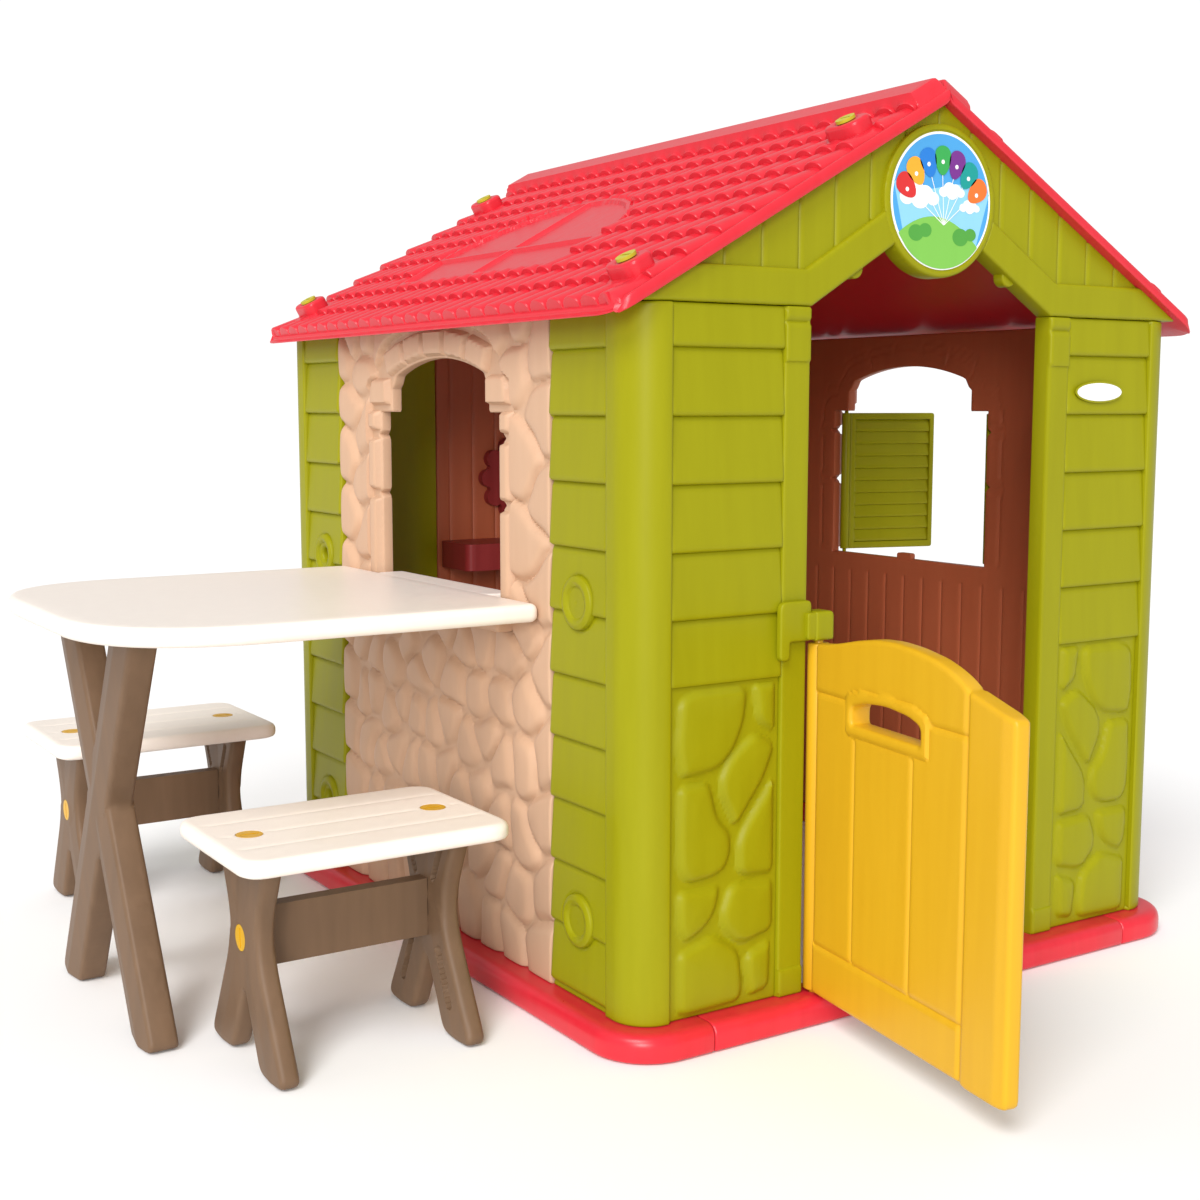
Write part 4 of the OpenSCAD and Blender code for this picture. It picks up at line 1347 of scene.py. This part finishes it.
def louvre_relief(points, depth):
    """Slanted slats inside a narrow frame."""
    t, z = points[:, 0], points[:, 1]
    into = np.mod(z - LOUVRE_LOW, LOUVRE_PITCH)
    slat = -0.6 - 5.4 * into / LOUVRE_PITCH - roll(into, 4.5)
    border = np.minimum(np.minimum(t - LOUVRE_FROM, LOUVRE_TO - t),
                        np.minimum(z - LOUVRE_LOW, LOUVRE_HIGH - z))
    slat = slat - 0.8 * roll(np.maximum(border, 0), 2.5)
    frame_face = -0.7 * roll(np.maximum(-border, 0), 2.0)
    return np.where(border > 0, slat, frame_face) - roll(depth, 2.5)


def build_shutters():
    outer = soften(rect(6, SHUTTER_LOW, SHUTTER_REACH, SHUTTER_HIGH), [0, 5, 5, 0], 4)
    rows = [LOUVRE_LOW + i * LOUVRE_PITCH + d for i in range(LOUVRES + 1) for d in (-0.3, 0.3, 1.2)]
    lines = [LOUVRE_FROM + d for d in (-0.4, 0.4, 2)] + [LOUVRE_TO + d for d in (-2, -0.4, 0.4)]
    faces = [(facing_y(side * 7, side), louvre_relief) for side in (-1, 1)]
    leaf = leaf_mesh(outer, [], 3.6, faces, (0.5, 2.4), lines, rows)
    barrel = barrel_mesh(8, SHUTTER_LOW, SHUTTER_HIGH, 1.5, 24)
    pin = barrel_mesh(3.45, SILL_Z - 6, 784, 0.8, 16)
    verts, faces = join_meshes([leaf, barrel, pin])
    for side, word in ((-1, "front"), (1, "back")):
        pin_at = (SHUTTER_PIN[0], side * SHUTTER_PIN[1])
        placed = turned_about(verts * (1, -side, 1), pin_at, -side * SHUTTER_TURN)
        node = f"shutter_{word}"
        make_piece(node + "_leaf", (placed, faces), green, (node,), node)


# --- table


TABLE_END = 1028.0
TABLE_HALF = 304.0


def build_table_top():
    """The board, the tongue that lies on the sill and the lip that hooks behind it."""
    wall_x = HALF_W - 4 + 2
    sill_in = -HALF_W + POST_T
    lay = facing_up()
    outer = soften([(-wall_x, -TABLE_HALF), (-wall_x, TABLE_HALF), (-TABLE_END, TABLE_HALF),
                    (-TABLE_END, -TABLE_HALF)], [14, 14, 205, 205], 24)
    tongue = soften(rect(-wall_x - 12, -174, sill_in + 8, 174), [0, 8, 8, 0], 4)
    lip = rect(sill_in + 2.4, -172, sill_in + 7.8, 172)
    board = join_meshes([
        slab_mesh(outer, lay, TABLE_TOP, TABLE_TOP - 24, 9, 9, cell=14),
        slab_mesh(tongue, lay, TABLE_TOP - 0.05, SILL_Z + 0.5, 3, 1.5, cell=10),
        slab_mesh(lip, lay, TABLE_TOP - 3, SILL_Z - 18, 0, 1, cell=10),
    ])
    make_piece("table_board", board, pale, ("table_top",), "table")


LEG_X = 966.0
LEG_T = 50.0
LEG_BEAM = 42.5
LEG_LEAN = 291.0 / 511.0
LEG_FOOT = 158.0
LEG_TOP = 511.0


def crossed_outline():
    """The outline of the table's crossed leg, in (y, z)."""
    a, b = LEG_FOOT - LEG_BEAM, LEG_FOOT + LEG_BEAM
    waist_z = (a + b) / (2 * LEG_LEAN)
    shift = LEG_LEAN * LEG_TOP
    right = [(a, 0), (b, 0), (LEG_BEAM, waist_z), (shift - a, LEG_TOP), (shift - b, LEG_TOP)]
    points = right + [(0, b / LEG_LEAN)] + mirrored(right) + [(0, a / LEG_LEAN)]
    return soften(points, [10, 26, 10, 8, 3, 6, 3, 8, 10, 26, 10, 6], 5)


def beam_offset(points, foot, lean):
    """Signed distance across a leaning beam, from its middle line."""
    return (points[:, 0] - foot + lean * points[:, 1]) / math.hypot(1, lean)


def crossed_relief(points, foot, lean, half, fall, under):
    """Two ridged beams that cross, the first lying over the second."""
    beams = []
    for side, drop in ((1, 0.0), (-1, under)):
        away = np.abs(beam_offset(points, side * foot, side * lean))
        beams.append(np.where(away < half, -drop - fall * away / half, -1e3))
    both = np.maximum(*beams)
    return np.where(both < -100, -under - fall, both)


def build_table_leg():
    half = LEG_BEAM / math.hypot(1, LEG_LEAN)

    def beams(side):
        def relief(points, depth):
            crossed = crossed_relief(points, side * LEG_FOOT, side * LEG_LEAN, half, 6.0, 2.4)
            return crossed - roll(depth, 5.0)
        return relief

    faces = [(facing_x(-LEG_X, -1), beams(1)), (facing_x(-LEG_X + LEG_T, 1), beams(-1))]
    leg = leaf_mesh(crossed_outline(), [], 3.4, faces, (0.5, 2.0, 5.0))
    make_piece("table_cross_leg", leg, taupe, ("table_leg",), "table")


# --- stools

FRAME_X = 122.0
FRAME_T = 30.0
SIDE_SCREW_Z = 155.0
SCREW_HOLE = 16.5
SEAT_UNDER = STOOL_TOP - 22.0
SEAT_HALF = (174.0, 125.0)
SEAT_GROOVES = (-62.0, 0.0, 62.0)
# Edge depth given to the rim of a screw's recess, which is rounded on its own
FAR_INSIDE = 50.0


def seat_mesh(cx, cy):
    lay = facing_up(cx, cy)
    outer = soften(rect(-SEAT_HALF[0], -SEAT_HALF[1], *SEAT_HALF), 34, 8)
    middles = (-FRAME_X, FRAME_X)

    def from_screws(points, depth):
        away = np.min([np.hypot(points[:, 0] - x, points[:, 1]) for x in middles], axis=0)
        return away, np.where(away < SCREW_HOLE + 8, FAR_INSIDE, depth)

    def top(points, depth):
        away, edge = from_screws(points, depth)
        outside = np.min(SEAT_HALF - np.abs(points), axis=1)
        height = STOOL_TOP - roll(edge, 9.0) - roll(away - SCREW_HOLE, 1.2)
        run, clear = ramp(outside, 14, 22), ramp(away, SCREW_HOLE + 3, SCREW_HOLE + 8)
        for line in SEAT_GROOVES:
            height = height + valley(points[:, 1] - line, 4.0, 1.1) * run * clear
        return lay(points, height)

    def bottom(points, depth):
        return lay(points, SEAT_UNDER + roll(from_screws(points, depth)[1], 8.0))

    lines = [line + d for line in SEAT_GROOVES for d in (-2, 0, 2)]
    seat = shell_mesh(outer, [circle(x, 0, SCREW_HOLE, 36) for x in middles], 6.0, top, bottom,
                      (0.6, 2.6, 5.6, 9.0), (), lines, back_net=(16.0, (0.6, 2.6, 8.0), (), ()))
    cups = [slab_mesh(circle(x, 0, SCREW_HOLE + 1, 32), lay, STOOL_TOP - 5.2, SEAT_UNDER + 0.5, 0, 0)
            for x in middles]
    return join_meshes([seat, *cups])


def frame_outline():
    """A stool's leg frame in (y, z): a waisted cross with two round feet."""
    right = [(44, 0), (122, 0), (35, 158), (80, SEAT_UNDER)]
    return soften(right + mirrored(right) + [(0, 92)], [16, 26, 60, 4, 4, 60, 26, 16, 12], 8)


# Slots in a leg frame's inner face: from, to, depth and half width
FRAME_SLOTS = (((66.0, 42.0), (38.0, 104.0), 11.0, 6.0), ((24.0, 196.0), (44.0, 236.0), 8.0, 5.0))


def slot_recess(points):
    """Long slots moulded into the frame's inner face, alike on both sides."""
    depth = np.zeros(len(points))
    for side in (-1, 1):
        for start, end, deep, half in FRAME_SLOTS:
            a = np.array((side * start[0], start[1]))
            run = np.array((side * end[0], end[1])) - a
            t = np.clip(((points - a) @ run) / (run @ run), 0, 1)
            away = np.linalg.norm(points - (a + t[:, None] * run), axis=1)
            depth = depth - deep * ramp(half - away, 0, 2.0)
    return depth


def leg_frame_mesh(cx, cy, side):
    """side is -1 for the frame at the outer end, 1 for the one beside the house."""
    x = cx + side * FRAME_X
    outward = facing_x(x + side * FRAME_T / 2, side, cy)
    inward = facing_x(x - side * FRAME_T / 2, -side, cy)

    def shape(points, depth, flip):
        away = np.hypot(points[:, 0], points[:, 1] - SIDE_SCREW_Z)
        edge = np.where(away < SCREW_HOLE + 8, FAR_INSIDE, depth)
        ridges = crossed_relief(points, flip * 80, flip * 0.5, 34, 2.2, 1.0)
        return ridges * ramp(away, 18, 30) - roll(edge, 7.0)

    def front(points, depth):
        return outward(points, shape(points, depth, 1))

    def back(points, depth):
        return inward(points, shape(points, depth, -1) + slot_recess(points))

    rings = (0.6, 2.2, 4.6, 7.0)
    hole = circle(0, SIDE_SCREW_Z, SCREW_HOLE, 32)
    body = shell_mesh(frame_outline(), [hole], 4.0, front, back, rings,
                      back_net=(3.0, rings, (), ()))
    cup = slab_mesh(circle(0, SIDE_SCREW_Z, SCREW_HOLE + 1, 28), outward, -5.2, -FRAME_T + 1, 0, 0)
    return join_meshes([body, cup])


def build_stools():
    for word, (cx, cy) in STOOLS.items():
        body = f"stool_{word}"
        make_piece(body + "_seat_board", seat_mesh(cx, cy), pale,
                   (body + "_seat",), body)
        for side, end in ((-1, "outer"), (1, "inner")):
            node = f"{body}_leg_{end}"
            frame_mesh = leg_frame_mesh(cx, cy, side)
            make_piece(node + "_frame", frame_mesh, taupe, (node,), body)


# --- CAD parts kept


def finish_cad_part(node, material, bevel):
    """Gives a CAD part that stays its plastic and its moulded, rounded edges."""
    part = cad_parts[node]
    part.data.materials.clear()
    part.data.materials.append(material)
    for slot in part.material_slots:
        slot.material = material
    round_edges = part.modifiers.new("rounded_edges", "BEVEL")
    round_edges.width = bevel * 0.001
    round_edges.segments = 3
    round_edges.limit_method = "ANGLE"
    round_edges.angle_limit = math.radians(50)


def finish_cad_parts():
    """The small CAD parts that are shown as they are: material and width of round edge."""
    kept = [("play_counter", dark_red, 5.0), ("wall_dial", dark_red, 2.5),
            ("dial_hub", yellow, 1.5), ("roof_screws", lime, 0.8)]
    for word in STOOLS:
        kept += [(f"stool_{word}_stretcher", taupe, 3.5),
                 (f"stool_{word}_seat_screws", yellow, 0.7),
                 (f"stool_{word}_side_screws", yellow, 0.7)]
    for node, material, bevel in kept:
        finish_cad_part(node, material, bevel)


# --- stage and camera


def floor_material():
    material, _, shader = new_material("pale_floor")
    shader.inputs["Base Color"].default_value = (0.96, 0.96, 0.96, 1)
    shader.inputs["Roughness"].default_value = 1.0
    shader.inputs["Specular IOR Level"].default_value = 0.0
    return material


def build_stage():
    """A floor so wide that its edge is never seen, a hair below the house."""
    mesh = bpy.data.meshes.new("floor")
    reach = 120.0
    mesh.from_pydata([(x, y, 0) for x, y in rect(-reach, -reach, reach, reach)], [], [(0, 1, 2, 3)])
    mesh.materials.append(floor_material())
    floor = add_object("floor", mesh)
    floor.location.z = -0.0005


def add_light(name, direction, spread, power):
    """A broad, soft light that shines the same way all over the stage."""
    data = bpy.data.lights.new(name, "SUN")
    data.energy = power
    data.angle = math.radians(spread)
    light = add_object(name, data)
    light.rotation_euler = Vector(direction).to_track_quat("-Z", "Y").to_euler()


def build_lights():
    """Two broad lights from the front left, in a white room that looks brighter than it lights."""
    world = bpy.data.worlds.new("studio")
    world.use_nodes = True
    tree = world.node_tree
    back = tree.nodes["Background"]
    back.inputs["Color"].default_value = (1.0, 1.0, 1.0, 1)
    seen = add_node(tree, "ShaderNodeLightPath")
    strength = add_node(tree, "ShaderNodeMapRange", To_Min=0.55, To_Max=1.05)
    tree.links.new(seen.outputs["Is Camera Ray"], strength.inputs["Value"])
    tree.links.new(strength.outputs["Result"], back.inputs["Strength"])
    bpy.context.scene.world = world
    add_light("key", (0.56, 0.42, -0.72), 28, 1.9)
    add_light("fill", (0.62, 0.74, -0.26), 22, 1.8)


CAMERA_AT = (-1522, -2087, 787)
CAMERA_HEADING = 32.65
CAMERA_DIP = 6.81


def build_camera():
    data = bpy.data.cameras.new("camera")
    data.sensor_width = 36.0
    data.lens = 48.8
    data.clip_end = 100.0
    camera = add_object("camera", data)
    camera.location = to_world(CAMERA_AT)
    camera.rotation_euler = (math.radians(90 - CAMERA_DIP), 0, math.radians(-CAMERA_HEADING))
    bpy.context.scene.camera = camera


# --- the scene

build_camera()
build_lights()
build_stage()
bpy.context.scene.view_settings.view_transform = "Standard"
build_base()
build_posts()
build_side_walls()
build_back_wall()
build_gables()
build_sign()
build_label()
build_roof()
build_clamps()
build_door()
build_bracket()
build_shutters()
build_table_top()
build_table_leg()
build_stools()
finish_cad_parts()
